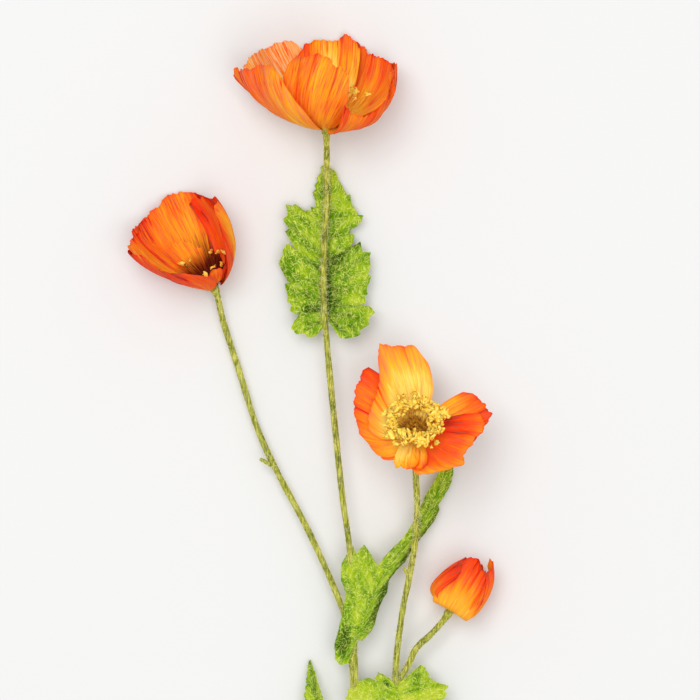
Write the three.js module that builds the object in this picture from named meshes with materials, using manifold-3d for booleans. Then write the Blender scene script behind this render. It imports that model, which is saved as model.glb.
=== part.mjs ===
// A branched spray of Iceland poppy, cut from the plant and lying on a flat surface.
// Three open flowers and one half-open bud stand on hairy stems with lobed, toothed leaves.
//
// Units are millimetres. +X is to the right, +Y runs from the cut end towards the top flower,
// and +Z is up from the surface that the spray lies on, which is z = 0.
// The origin is on that surface, under the middle of the spray.

import * as THREE from "three";
import Module from "manifold-3d";
import { mergeVertices } from "three/addons/utils/BufferGeometryUtils.js";

const wasm = await Module();
wasm.setup();

// Driving dimensions

const PETAL_THICKNESS = 0.7;
const LEAF_THICKNESS = 0.7;
const GAP = 0.3; // between pieces that touch on the real flower
const PRESS_BLEND = 1.6; // height over which a petal eases onto the surface it is pressed on
const PRESS_DEPTH = 0.1; // how much thinner a petal is where it is pressed flat
const SLIVER = 0.01; // edges shorter than this are closed up after a cut

const MAIN_STEM_RADIUS = 2.2;
const SIDE_STEM_RADIUS = 1.8;
const FLOWER_STEM_RADIUS = 1.55;
const STEM_SIDES = 7;
const STEM_STEP = 17; // length of one straight stretch of a stem

const KNOB_RADIUS = 2.5; // the swollen top of a flower stem
const KNOB_HEIGHT = 4;
const PEG_RADIUS = 1.9; // the part of the stem that runs on between the petals' roots
const PEG_HEIGHT = 3.1;

const CENTRE_RADIUS = 5.2; // the bristly middle of an open flower
const CENTRE_HEIGHT = 3.6;
const RING_INNER = 5.5; // the ring that the stamens grow from
const RING_OUTER = 6.6;
const RING_HEIGHT = 1.4;

const MATERIALS = {
  stem: new THREE.MeshStandardMaterial({ color: 0x8d9426, roughness: 0.75, metalness: 0 }),
  leaf: new THREE.MeshStandardMaterial({ color: 0x7fa11c, roughness: 0.7, metalness: 0 }),
  petal: new THREE.MeshStandardMaterial({ color: 0xf8651f, roughness: 0.6, metalness: 0 }),
  stamen: new THREE.MeshStandardMaterial({ color: 0xfbc93c, roughness: 0.7, metalness: 0 }),
  centre: new THREE.MeshStandardMaterial({ color: 0x8a4a10, roughness: 0.85, metalness: 0 }),
};

// Small maths helpers

const vec = (x, y, z) => new THREE.Vector3(x, y, z);
const radians = THREE.MathUtils.degToRad;
const lerp = THREE.MathUtils.lerp;
const smooth = (x) => THREE.MathUtils.smoothstep(x, 0, 1);

// A repeatable stream of numbers from 0 to 1.
function randomStream(seed) {
  let state = seed;
  return () => {
    state = (Math.imul(state, 1664525) + 1013904223) >>> 0;
    return state / 4294967296;
  };
}

// The value at x, from 0 to 1, of a row of evenly spaced values.
function along(values, x) {
  const place = Math.min(Math.max(x, 0), 1) * (values.length - 1);
  const i = Math.min(Math.floor(place), values.length - 2);
  return lerp(values[i], values[i + 1], place - i);
}

// Solids

function solidOf(geometry) {
  const bare = geometry.clone();
  bare.deleteAttribute("normal");
  bare.deleteAttribute("uv");
  const merged = mergeVertices(bare, 1e-4);
  const vertProperties = new Float32Array(merged.attributes.position.array);
  const triVerts = new Uint32Array(merged.index.array);
  const made = new wasm.Manifold(new wasm.Mesh({ numProp: 3, vertProperties, triVerts }));
  if (made.volume() > 0) return made;
  for (let i = 0; i < triVerts.length; i += 3) {
    [triVerts[i + 1], triVerts[i + 2]] = [triVerts[i + 2], triVerts[i + 1]];
  }
  return new wasm.Manifold(new wasm.Mesh({ numProp: 3, vertProperties, triVerts }));
}

function meshOf(name, solid, material) {
  const made = solid.getMesh();
  const positions = new Float32Array(made.numVert * 3);
  for (let i = 0; i < made.numVert; i++) {
    positions.set(made.vertProperties.subarray(i * made.numProp, i * made.numProp + 3), i * 3);
  }
  const geometry = new THREE.BufferGeometry();
  geometry.setAttribute("position", new THREE.BufferAttribute(positions, 3));
  geometry.setIndex(new THREE.BufferAttribute(new Uint32Array(made.triVerts), 1));
  geometry.computeVertexNormals();
  const mesh = new THREE.Mesh(geometry, material);
  mesh.name = name;
  return mesh;
}

function unionOf(solids) {
  return solids.reduce((all, next) => all.add(next));
}

// The largest body of a solid, without the scraps and slivers that a cut left.
function largestBody(solid) {
  const bodies = solid.decompose();
  return bodies.reduce((best, next) => (next.volume() > best.volume() ? next : best)).simplify(SLIVER);
}

// Eases a height onto the floor of a pressed petal or leaf: flat at `floor`, unchanged well above it.
function pressed(z, floor) {
  const over = z - floor;
  if (over >= PRESS_BLEND) return z;
  if (over <= -PRESS_BLEND) return floor;
  return floor + (over + PRESS_BLEND) ** 2 / (4 * PRESS_BLEND);
}

// A thin closed shell around a grid of points: grid[i][j], with both faces split alike.
function shellOf(grid, thickness) {
  const rows = grid.length;
  const columns = grid[0].length;
  const half = thickness / 2;
  const at = (i, j) => grid[Math.min(Math.max(i, 0), rows - 1)][Math.min(Math.max(j, 0), columns - 1)];
  const positions = [];
  const sides = [1, -1];
  for (const side of sides) {
    for (let i = 0; i < rows; i++) {
      for (let j = 0; j < columns; j++) {
        const along = at(i + 1, j).clone().sub(at(i - 1, j));
        const across = at(i, j + 1).clone().sub(at(i, j - 1));
        const normal = along.cross(across).normalize();
        const point = grid[i][j].clone().addScaledVector(normal, side * half);
        positions.push(point.x, point.y, Math.max(point.z, 0));
      }
    }
  }
  const index = (side, i, j) => side * rows * columns + i * columns + j;
  const triangles = [];
  const quad = (a, b, c, d) => triangles.push(a, b, c, a, c, d);
  for (let i = 0; i < rows - 1; i++) {
    for (let j = 0; j < columns - 1; j++) {
      quad(index(0, i, j), index(0, i + 1, j), index(0, i + 1, j + 1), index(0, i, j + 1));
      triangles.push(index(1, i, j), index(1, i + 1, j + 1), index(1, i + 1, j));
      triangles.push(index(1, i, j), index(1, i, j + 1), index(1, i + 1, j + 1));
    }
  }
  for (let i = 0; i < rows - 1; i++) {
    quad(index(0, i, 0), index(1, i, 0), index(1, i + 1, 0), index(0, i + 1, 0));
    const last = columns - 1;
    quad(index(0, i + 1, last), index(1, i + 1, last), index(1, i, last), index(0, i, last));
  }
  for (let j = 0; j < columns - 1; j++) {
    quad(index(0, 0, j + 1), index(1, 0, j + 1), index(1, 0, j), index(0, 0, j));
    const last = rows - 1;
    quad(index(0, last, j), index(1, last, j), index(1, last, j + 1), index(0, last, j + 1));
  }
  const geometry = new THREE.BufferGeometry();
  geometry.setAttribute("position", new THREE.Float32BufferAttribute(positions, 3));
  geometry.setIndex(triangles);
  return solidOf(geometry);
}

// Flowers: where each one stands, which way it faces, and its petals
//
// A petal's angle runs round the flower's axis: 0 is the side that faces up (+Z), 90 the right-hand
// side seen from above with the flower pointing away, and -90 the left-hand side.
// lean holds the angles between the petal and the axis, evenly spaced from its root to its tip: one
// row for the whole petal, or one for each side edge with one for the middle between them.
// rim holds how far the petal reaches, as shares of its length, evenly spaced across it, and round
// shortens it towards both sides. A low spread makes it broad straight from the root. ruffle is the
// height of the waves at its rim.
// Petals of whorl 1 are rooted inside those of whorl 0. layer counts the petals that one lies on where
// they are pressed onto the surface.

const FLOWERS = [
  {
    name: "top_flower",
    base: [7.3, 171.8, 18],
    axis: [-0.03, 0.95, 0.3],
    filament: 19,
    stamens: 22,
    petals: [
      {
        name: "front", angle: -11, whorl: 0, length: 54, width: 35, round: 0,
        lean: [68, 20, 4],
        rim: [0.76, 0.87, 0.93, 0.97, 1, 1.02, 1.01, 1, 0.98, 0.96, 0.88, 0.87, 0.78],
      },
      {
        name: "left", angle: -70, whorl: 0, length: 52, width: 48, round: 0,
        lean: [[80, 56, 28], [80, 44, 8], [80, 36, -4]],
        rim: [0.94, 1.02, 1.03, 1.01, 1.01, 1.02, 1.03, 1.05, 1.06, 1.07, 1.07, 0.98, 0.6],
      },
      {
        name: "right", angle: 67, whorl: 0, length: 50, width: 67, round: 0,
        lean: [88, 72, 20, -6],
        rim: [0.82, 0.7, 0.62, 0.76, 0.9, 0.98, 1, 1, 0.92],
      },
      {
        name: "back", angle: 176, whorl: 1, layer: 2, length: 51, width: 35, round: 0,
        lean: [72, 28, 4],
        rim: [0.84, 0.92, 0.97, 1.01, 0.95, 0.93, 0.93, 0.94, 0.94, 0.93, 0.91, 0.81, 0.68],
      },
      {
        name: "back_left", angle: -126, whorl: 0, length: 53, width: 56, round: 0,
        lean: [60, 44, 30],
        rim: [0.83, 0.93, 0.96, 0.97, 0.97, 0.96, 0.95, 0.94, 0.93, 0.92, 0.9, 0.9, 0.9],
      },
      {
        name: "back_right", angle: 111, whorl: 1, layer: 1, length: 48, width: 56, round: 0,
        lean: [[72, 60, 22], [68, 44, 14], [66, 36, 14]],
        rim: [0.77, 0.83, 0.85, 0.86, 0.86, 0.88, 0.91, 0.92, 0.91, 0.9, 0.96, 0.98, 0.94],
      },
    ],
  },
  {
    name: "left_flower",
    base: [-49.2, 92.4, 10.5],
    axis: [-0.36, 0.83, 0.43],
    filament: 12,
    stamens: 16,
    petals: [
      {
        name: "left", angle: -80, whorl: 0, length: 44.4, width: 58,
        lean: [50, 40, 12],
        rim: [1, 1.02, 1, 0.96, 0.9],
      },
      {
        name: "right", angle: 100, whorl: 0, length: 50, width: 44,
        lean: [60, 10, -18],
        rim: [0.9, 0.95, 1, 1, 1, 1, 0.98, 1.06, 1.32],
      },
      {
        name: "back", angle: -171, whorl: 1, layer: 2, length: 51, width: 50, round: 0,
        lean: [66, 24, 8],
        rim: [0.7, 0.82, 0.9, 0.96, 0.98, 0.99, 1, 0.96, 0.97, 0.94, 0.93, 0.92, 0.88],
      },
      {
        name: "back_left", angle: -126, whorl: 1, layer: 1, length: 50, width: 52, round: 0,
        lean: [54, 34, 10],
        rim: [0.88, 0.91, 0.93, 0.94, 0.93, 0.94, 0.94, 0.94, 0.92, 0.91, 0.91, 0.92, 0.95],
      },
      {
        name: "front", angle: 14, whorl: 1, length: 15, width: 20, ruffle: 0.6,
        lean: [66, 40, 20],
      },
    ],
  },
  {
    name: "right_flower",
    base: [51.3, 19, 36],
    axis: [0, 0.52, 0.85],
    filament: 12,
    stamens: 34,
    petals: [
      {
        name: "top", angle: -152, whorl: 1, length: 46, width: 48, round: 0,
        lean: [[84, 72, 56], [80, 62, 44], [84, 76, 66]],
        rim: [0.72, 0.88, 0.92, 0.94, 0.96, 0.98, 0.85, 0.62, 0.54, 0.49, 0.45, 0.42, 0.4],
      },
      {
        name: "left", angle: -112, whorl: 0, length: 40, width: 50, round: 0,
        lean: [[86, 78, 70], [86, 74, 62], [88, 78, 66]],
        rim: [0.94, 0.93, 0.9, 0.86, 0.83, 0.79, 0.73, 0.69, 0.63, 0.58, 0.48, 0.44, 0.4],
      },
      {
        name: "right", angle: 103, whorl: 0, length: 38.5, width: 28, round: 0,
        lean: [[86, 82, 78], [84, 72, 62], [84, 72, 62]],
        rim: [0.66, 0.72, 0.78, 0.84, 0.88, 0.95, 0.92, 0.89, 0.86, 0.84, 0.82, 0.8, 0.72],
      },
      {
        name: "front_right", angle: 55, whorl: 1, length: 34, width: 46, round: 0,
        lean: [[86, 76, 62], [86, 76, 62], [84, 68, 50]],
        rim: [0.66, 0.75, 0.79, 0.83, 0.83, 0.86, 0.81, 0.82, 0.88, 0.86, 0.95, 0.98, 0.93],
      },
      {
        name: "front", angle: -6, whorl: 1, length: 21, width: 17, round: 0, ruffle: 0.4,
        lean: [78, 74, 74],
        rim: [0.96, 1.06, 1.06, 1.06, 1.07, 1.06, 1.05, 1.04, 1.04, 1.04, 1.05, 1, 0.9],
      },
    ],
  },
  {
    name: "bud",
    base: [69.3, -70, 12.2],
    axis: [0.5, 0.86, 0.03],
    petals: [
      {
        name: "front", angle: 0, whorl: 0, length: 36, width: 27, spread: 0.4,
        lean: [
          [104, 92, 24, -4, -8, -14, -22, -34, -46],
          [98, 70, 12, -2, -6, -12, -20, -32, -46],
          [108, 92, 24, -4, -8, -14, -20, -26, -30],
        ],
        rim: [0.9, 0.94, 0.98, 1, 1, 0.98, 0.96, 0.97, 1],
      },
      {
        name: "left", angle: -92, whorl: 1, length: 35, width: 28, spread: 0.5,
        lean: [100, 92, 60, -4, -13, -22, -28, -34, -38],
      },
      {
        name: "right", angle: 85, whorl: 1, length: 40, width: 26, spread: 0.5,
        lean: [106, 92, 16, 4, 0, -14, -26, -38, -40],
        rim: [0.86, 0.88, 0.9, 1.08, 0.9, 0.84, 0.8],
      },
      {
        name: "back", angle: 180, whorl: 0, length: 35, width: 25,
        lean: [98, 86, 34, 6, -4, -14, -24, -34, -44],
      },
    ],
  },
];

const ROOT_RING = [4.0, 2.75]; // radius of the petals' roots in the outer and the inner whorl
const ROOT_LIFT = [0.95, 2.35]; // and their height on the peg
const ROOT_HALF_WIDTH = [3.2, 2.2];

function frameOf(flower) {
  const axis = vec(...flower.axis).normalize();
  const up = vec(0, 0, 1).addScaledVector(axis, -axis.z).normalize();
  const right = axis.clone().cross(up);
  return { base: vec(...flower.base), axis, up, right };
}

// The direction away from the flower's axis at an angle in degrees round it.
function outwardOf({ up, right }, angle) {
  const turn = radians(angle);
  return up.clone().multiplyScalar(Math.cos(turn)).addScaledVector(right, Math.sin(turn));
}

// The lean in degrees at u, from -1 to 1 across a petal, and t, from root to rim.
function leanAt(lean, u, t) {
  if (!Array.isArray(lean[0])) return along(lean, t);
  const [left, middle, right] = lean;
  return lerp(along(middle, t), along(u < 0 ? left : right, t), Math.abs(u));
}

// The middle surface of a petal: grid[j][i] with j across it and i from its root to its rim.
function petalGrid(flower, petal, columns, rows) {
  const frame = frameOf(flower);
  const { base, axis } = frame;
  const outward = outwardOf(frame, petal.angle);
  const sideways = axis.clone().cross(outward);
  const { round = 0.36, rim = [1, 1], spread = 0.85, ruffle = 1.6 } = petal;
  const substeps = 4;
  const grid = [];
  for (let j = 0; j <= columns; j++) {
    const u = -1 + (2 * j) / columns;
    const reach = petal.length * (1 - round * Math.abs(u) ** 3) * along(rim, (u + 1) / 2);
    const step = reach / (rows * substeps);
    let radius = ROOT_RING[petal.whorl];
    let height = ROOT_LIFT[petal.whorl];
    const line = [];
    for (let i = 0; i <= rows * substeps; i++) {
      const v = i / (rows * substeps);
      const t = (v * reach) / petal.length;
      const lean = radians(leanAt(petal.lean, u, t));
      if (i % substeps === 0) {
        const widened = Math.sin((Math.PI / 2) * v) ** spread;
        const halfWidth = lerp(ROOT_HALF_WIDTH[petal.whorl], petal.width / 2, widened);
        const bend = radius * 1.15 + 1;
        const sweep = (u * halfWidth) / bend;
        const wave = ruffle * t * t * Math.sin(Math.PI * 2.3 * u);
        const out = radius - bend * (1 - Math.cos(sweep)) - wave * Math.cos(lean);
        line.push(
          base
            .clone()
            .addScaledVector(outward, out)
            .addScaledVector(sideways, bend * Math.sin(sweep))
            .addScaledVector(axis, height + wave * Math.sin(lean)),
        );
      }
      radius += step * Math.sin(lean);
      height += step * Math.cos(lean);
    }
    grid.push(line);
  }
  return grid;
}

function pressedShell(grid, thickness, floor) {
  for (const line of grid) {
    for (const point of line) point.z = pressed(point.z, floor);
  }
  return shellOf(grid, thickness);
}

function petalSolid(flower, petal, margin) {
  const { layer = petal.whorl } = petal;
  const floor = PETAL_THICKNESS / 2 - PRESS_DEPTH + layer * (PETAL_THICKNESS + GAP);
  const grid = petalGrid(flower, petal, petal.width > 30 ? 10 : 8, 6);
  return pressedShell(grid, PETAL_THICKNESS + 2 * margin, floor);
}

// Stems

const NODE_A = [20.2, -84, 13]; // where the stems of the top and the left flower part
const NODE_B = [42.2, -107.5, 12]; // where the stems of the right flower and the bud part

const STEMS = [
  {
    radius: MAIN_STEM_RADIUS,
    path: [[22.3, -219.4, 2.146], [22.9, -190, 3.2], [22.8, -164, 5], [21.8, -114, 10.5], NODE_A],
  },
  {
    radius: FLOWER_STEM_RADIUS,
    path: [NODE_A, [19, -39, 14], [15.6, -14, 14], [10.3, 36, 13], [7.7, 63.5, 12],
      [6, 86, 9.5], [6.2, 111, 7.2], [7.4, 134, 7.2], [7.6, 152, 12], "top_flower"],
  },
  {
    radius: FLOWER_STEM_RADIUS,
    path: [NODE_A, [15.8, -70, 12.4], [8.9, -53, 11.5], [-2.2, -29, 10], [-18.6, 2, 8],
      [-27.2, 21, 6.6], [-36.8, 51, 4.6], [-44.8, 76, 5.4], "left_flower"],
  },
  {
    radius: SIDE_STEM_RADIUS,
    path: [[22.8, -166, 5], [24.4, -161, 6], [33.3, -136.5, 9], [40.3, -114, 11.5], NODE_B],
  },
  {
    radius: FLOWER_STEM_RADIUS,
    path: [NODE_B, [42.4, -96, 12.5], [45.8, -69, 13], [48.8, -54, 13.2], [51.8, -36.5, 15],
      [53, -19, 17.5], [52.4, -6, 20.5], [51.7, 7, 26], "right_flower"],
  },
  {
    radius: FLOWER_STEM_RADIUS,
    path: [NODE_B, [45, -103, 12.2], [48.5, -97.5, 12.4], [52.5, -89, 12.6], [60.3, -81.5, 12.6], "bud"],
  },
];

// Short stubs where a side shoot was cut away: foot, then end.
const STUBS = [
  [[-18.6, 2, 8], [-26, 6.2, 9.5]],
  [[49.3, -53.5, 13.2], [46.3, -48.5, 16]],
];

function tubeAlong(points, radius) {
  const path = new THREE.CatmullRomCurve3(points, false, "centripetal");
  const circle = new THREE.Shape();
  for (let i = 0; i < STEM_SIDES; i++) {
    const turn = (2 * Math.PI * i) / STEM_SIDES;
    const [x, y] = [radius * Math.cos(turn), radius * Math.sin(turn)];
    if (i === 0) circle.moveTo(x, y);
    else circle.lineTo(x, y);
  }
  const steps = Math.max(2, Math.round(path.getLength() / STEM_STEP));
  return solidOf(new THREE.ExtrudeGeometry(circle, { steps, extrudePath: path, curveSegments: 1 }));
}

// A turned solid on a flower's axis: profile holds [radius, height] from the axis round to the axis.
function turnedOn(flower, profile, sides) {
  const { base, axis } = frameOf(flower);
  const geometry = new THREE.LatheGeometry(
    profile.map(([radius, height]) => new THREE.Vector2(radius, height)),
    sides,
  );
  geometry.applyQuaternion(new THREE.Quaternion().setFromUnitVectors(vec(0, 1, 0), axis));
  geometry.translate(base.x, base.y, base.z);
  return solidOf(geometry);
}

function stemSolid(margin) {
  const solids = [];
  for (const { radius, path } of STEMS) {
    const points = path.flatMap((place) => {
      if (typeof place !== "string") return [vec(...place)];
      const { base, axis } = frameOf(FLOWERS.find((flower) => flower.name === place));
      return [base.clone().addScaledVector(axis, -KNOB_HEIGHT), base.clone().addScaledVector(axis, -0.5)];
    });
    solids.push(tubeAlong(points, radius + margin));
  }
  for (const [foot, end] of STUBS) {
    solids.push(tubeAlong([vec(...foot), vec(...end)], 1.3 + margin));
  }
  for (const place of [NODE_A, NODE_B]) {
    const knot = new THREE.IcosahedronGeometry(2.7 + margin, 1);
    knot.translate(...place);
    solids.push(solidOf(knot));
  }
  for (const flower of FLOWERS) {
    const knob = [
      [0, -KNOB_HEIGHT - margin],
      [FLOWER_STEM_RADIUS * 0.9 + margin, -KNOB_HEIGHT - margin],
      [KNOB_RADIUS * 0.8 + margin, -KNOB_HEIGHT * 0.55],
      [KNOB_RADIUS + margin, -0.9],
      [KNOB_RADIUS * 0.9 + margin, margin],
      [PEG_RADIUS + margin, margin],
      [PEG_RADIUS + margin, PEG_HEIGHT + margin],
      [0, PEG_HEIGHT + margin],
    ];
    solids.push(turnedOn(flower, knob, 8));
  }
  return unionOf(solids);
}

// The middle of an open flower: a low bristly dome, and round it a ring with the stamens

function spike(foot, tip, radius, sides) {
  const length = foot.distanceTo(tip);
  const geometry = new THREE.ConeGeometry(radius, length, sides, 1);
  const direction = tip.clone().sub(foot).normalize();
  geometry.applyQuaternion(new THREE.Quaternion().setFromUnitVectors(vec(0, 1, 0), direction));
  const middle = foot.clone().lerp(tip, 0.5);
  geometry.translate(middle.x, middle.y, middle.z);
  return solidOf(geometry);
}

const SPIKE_COUNT = 13;

function centreSolid(flower, random) {
  const frame = frameOf(flower);
  const { base, axis } = frame;
  const foot = PEG_HEIGHT + GAP;
  const dome = [
    [0, foot],
    [2.2, foot],
    [CENTRE_RADIUS, foot + 1.7],
    [CENTRE_RADIUS * 0.86, foot + CENTRE_HEIGHT * 0.8],
    [CENTRE_RADIUS * 0.5, foot + CENTRE_HEIGHT],
    [0, foot + CENTRE_HEIGHT * 1.08],
  ];
  const solids = [turnedOn(flower, dome, 10)];
  for (let i = 0; i < SPIKE_COUNT; i++) {
    const outward = outwardOf(frame, i * 137.5);
    const radius = CENTRE_RADIUS * 0.85 * Math.sqrt((i + 0.5) / SPIKE_COUNT);
    const start = base
      .clone()
      .addScaledVector(axis, foot + CENTRE_HEIGHT * 0.75)
      .addScaledVector(outward, radius);
    const tip = start
      .clone()
      .addScaledVector(axis, 2.2 + 1.2 * random())
      .addScaledVector(outward, radius * 0.28);
    solids.push(spike(start, tip, 0.65, 4));
  }
  return unionOf(solids);
}

function stamenSolid(flower, random) {
  const frame = frameOf(flower);
  const { base, axis } = frame;
  const foot = PEG_HEIGHT + 1.9;
  const ring = [
    [RING_INNER, foot],
    [RING_OUTER, foot + 0.5],
    [RING_OUTER, foot + RING_HEIGHT],
    [RING_INNER, foot + RING_HEIGHT],
    [RING_INNER, foot],
  ];
  const solids = [turnedOn(flower, ring, 14)];
  for (let i = 0; i < flower.stamens; i++) {
    const outward = outwardOf(frame, (360 * (i + 0.5 * random())) / flower.stamens);
    const middle = (RING_INNER + RING_OUTER) / 2;
    const lean = radians(12 + 34 * random());
    const length = flower.filament * (0.7 + 0.3 * random());
    const start = base
      .clone()
      .addScaledVector(axis, foot + RING_HEIGHT * 0.5)
      .addScaledVector(outward, middle);
    const tip = start
      .clone()
      .addScaledVector(axis, length * Math.cos(lean))
      .addScaledVector(outward, length * Math.sin(lean));
    solids.push(stamen(start, tip));
  }
  return unionOf(solids);
}

// A three-sided filament with its anther at the tip.
function stamen(start, tip) {
  const direction = tip.clone().sub(start);
  const length = direction.length();
  const profile = [[0, 0], [0.5, 0], [0.4, length - 1.6], [1.25, length - 0.6], [0, length + 0.8]];
  const geometry = new THREE.LatheGeometry(profile.map(([x, y]) => new THREE.Vector2(x, y)), 3);
  geometry.applyQuaternion(new THREE.Quaternion().setFromUnitVectors(vec(0, 1, 0), direction.normalize()));
  geometry.translate(start.x, start.y, start.z);
  return solidOf(geometry);
}

// Leaves: a midrib, and on each side of it a lobed edge
//
// rib is the midrib from the leaf's foot to its tip. face is the way its upper side looks.
// fold lifts the left and the right half out of the flat, in degrees, and bulge is how far the middle
// of each half stands out of the straight line from the midrib to the edge.
// Each point of an edge is [share of the way along the midrib, distance from it]. Both edges of a leaf
// have the same number of points. A tooth is cut between every two of them, unless the edges are
// traced, which means that they hold the teeth already.

const LEAVES = [
  {
    name: "upper_leaf",
    rib: [[7.9, 76, 8.4], [7.6, 90, 5], [7, 122, 3.2], [6.8, 154.5, 1.8]],
    face: [0, 0, 1],
    fold: [9, 12],
    bulge: [1.2, 1.8],
    traced: true,
    left: [
      [-0.03, 2.7], [-0.071, 3.8], [-0.108, 6.3], [-0.118, 10.3], [-0.091, 11.5], [-0.096, 15.9],
      [-0.056, 18.7], [0.035, 14.2], [0.058, 19], [0.1, 18], [0.116, 20.2], [0.165, 20.1],
      [0.242, 21.3], [0.246, 18.7], [0.266, 20.3], [0.376, 24.5], [0.425, 22.2], [0.466, 21.9],
      [0.497, 19.6], [0.42, 13.6], [0.574, 20.7], [0.591, 18.5], [0.648, 21.9], [0.676, 19.4],
      [0.745, 20.3], [0.734, 16.8], [0.749, 15.6], [0.689, 10.5], [0.711, 9.5], [0.693, 7.4],
      [0.731, 7.5], [0.717, 5], [0.774, 5.2], [0.826, 6.6], [0.839, 4.8], [0.866, 5.5],
      [0.888, 4], [0.92, 4.3], [0.949, 2.1], [0.982, 2.4], [1, 0.6],
    ],
    right: [
      [-0.006, 1.7], [-0.079, 4.2], [-0.12, 6.1], [-0.129, 9], [-0.124, 12.8], [-0.111, 17],
      [-0.087, 16], [-0.05, 21.4], [-0.014, 21.1], [0.027, 24.5], [0.069, 21.9], [0.08, 16.1],
      [0.094, 20.1], [0.14, 19.7], [0.157, 20.9], [0.197, 20.5], [0.275, 23], [0.29, 21.3],
      [0.343, 22.9], [0.392, 22.4], [0.433, 23], [0.433, 18.9], [0.502, 17.8], [0.437, 11.6],
      [0.498, 13.9], [0.548, 14.9], [0.551, 12], [0.587, 13.1], [0.596, 15.6], [0.628, 18.2],
      [0.669, 19.5], [0.673, 16.6], [0.693, 16.3], [0.734, 13.8], [0.758, 13.1], [0.805, 12.9],
      [0.803, 11], [0.855, 9], [0.896, 6.8], [0.952, 5.3], [1, 0.6],
    ],
  },
  {
    name: "middle_leaf",
    rib: [[22.8, -84.5, 16.4], [25.2, -75, 17.6], [31.8, -59, 17.2], [40.8, -45, 14.5], [50.2, -34, 10.6],
      [58.2, -20, 9], [64.2, -8, 8], [69.8, 6, 6.5]],
    face: [-0.15, 0.1, 1],
    fold: [4, -42],
    bulge: [0.8, 1],
    left: [
      [-0.07, 1.6], [-0.12, 1.2], [-0.14, 4.9], [-0.12, 8.1], [-0.05, 10.6],
      [0.02, 10.3], [0.1, 10.3], [0.19, 12.2], [0.23, 17.2], [0.29, 21],
      [0.38, 21.2], [0.35, 17.4], [0.41, 16.7], [0.39, 11], [0.34, 4.9],
      [0.43, 4.6], [0.54, 3.8], [0.65, 3.6], [0.79, 4.5], [0.93, 2.9],
      [1, 0.6],
    ],
    right: [
      [0, 3], [0.03, 5.6], [0.06, 7.4], [0.1, 7.8], [0.15, 6.9],
      [0.21, 6.7], [0.28, 7.3], [0.34, 4.5], [0.4, 4.8], [0.47, 5.9],
      [0.52, 4.5], [0.59, 4.2], [0.65, 5.3], [0.7, 6.4], [0.76, 5.9],
      [0.78, 3.8], [0.82, 4.8], [0.89, 5.7], [0.94, 4.6], [0.98, 2.8],
      [1, 0.6],
    ],
  },
  {
    name: "lower_leaf",
    rib: [[42.8, -107.5, 15.2], [43.4, -124, 17.4], [44, -150, 12.5], [45, -189.5, 3]],
    face: [0, 0, 1],
    fold: [-4, -8],
    bulge: [1.6, 1.6],
    left: [
      [-0.02, 1.5], [-0.06, 6.5], [-0.1, 10.5], [-0.12, 13], [-0.08, 15.5],
      [-0.04, 16.5], [-0.01, 20.5], [0.01, 26], [0.04, 24], [0.07, 25],
      [0.1, 21], [0.16, 15], [0.2, 20], [0.3, 24.5], [0.4, 25],
      [0.46, 21], [0.42, 12.5], [0.56, 18.5], [0.68, 19], [0.82, 11.5],
      [1, 0.6],
    ],
    right: [
      [-0.01, 2], [-0.05, 4.5], [-0.085, 9], [-0.06, 10.5], [0.01, 10.5],
      [-0.03, 11.5], [-0.055, 14.5], [-0.04, 18.5], [-0.02, 21.5], [0.01, 24.5],
      [0.065, 26], [0.12, 20], [0.15, 14], [0.24, 21], [0.34, 25],
      [0.44, 22], [0.4, 12], [0.55, 19], [0.68, 18], [0.82, 11],
      [1, 0.6],
    ],
  },
  {
    name: "side_leaf",
    rib: [[22.4, -180, 5.5], [15.5, -162, 9.5], [6, -130, 10.5], [-1, -95.5, 3]],
    face: [-0.45, -0.1, 0.86],
    fold: [38, 38],
    bulge: [0.6, 0.6],
    left: [
      [0, 1.5], [-0.03, 5], [-0.02, 9], [0.02, 11.5], [0.06, 12.5],
      [0.1, 9], [0.12, 6], [0.17, 9.5], [0.24, 12.5], [0.31, 13.5],
      [0.37, 12], [0.39, 8.5], [0.37, 5.5], [0.44, 9], [0.52, 11],
      [0.6, 10.5], [0.68, 9], [0.76, 7], [0.84, 5], [0.92, 3],
      [1, 0.6],
    ],
    right: [
      [0, 1.5], [-0.03, 5], [-0.02, 9], [0.03, 12], [0.08, 13],
      [0.12, 10], [0.14, 6.5], [0.19, 10], [0.26, 13], [0.33, 14],
      [0.39, 12], [0.41, 8.5], [0.39, 5.5], [0.46, 9], [0.54, 11.5],
      [0.62, 10.5], [0.7, 9], [0.78, 7], [0.86, 5], [0.93, 3],
      [1, 0.6],
    ],
  },
];

const TOOTH_DEPTH = 0.07; // share of the half's width
const RIB_EASE = 1.8; // crowds the side veins towards the leaf's foot

// The points of an edge with the bottom of a tooth between every two of them.
function toothed(edge) {
  return edge.flatMap((here, i) => {
    if (i === 0) return [here];
    const last = edge[i - 1];
    return [[(here[0] + last[0]) / 2, ((here[1] + last[1]) / 2) * (1 - TOOTH_DEPTH)], here];
  });
}

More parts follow.
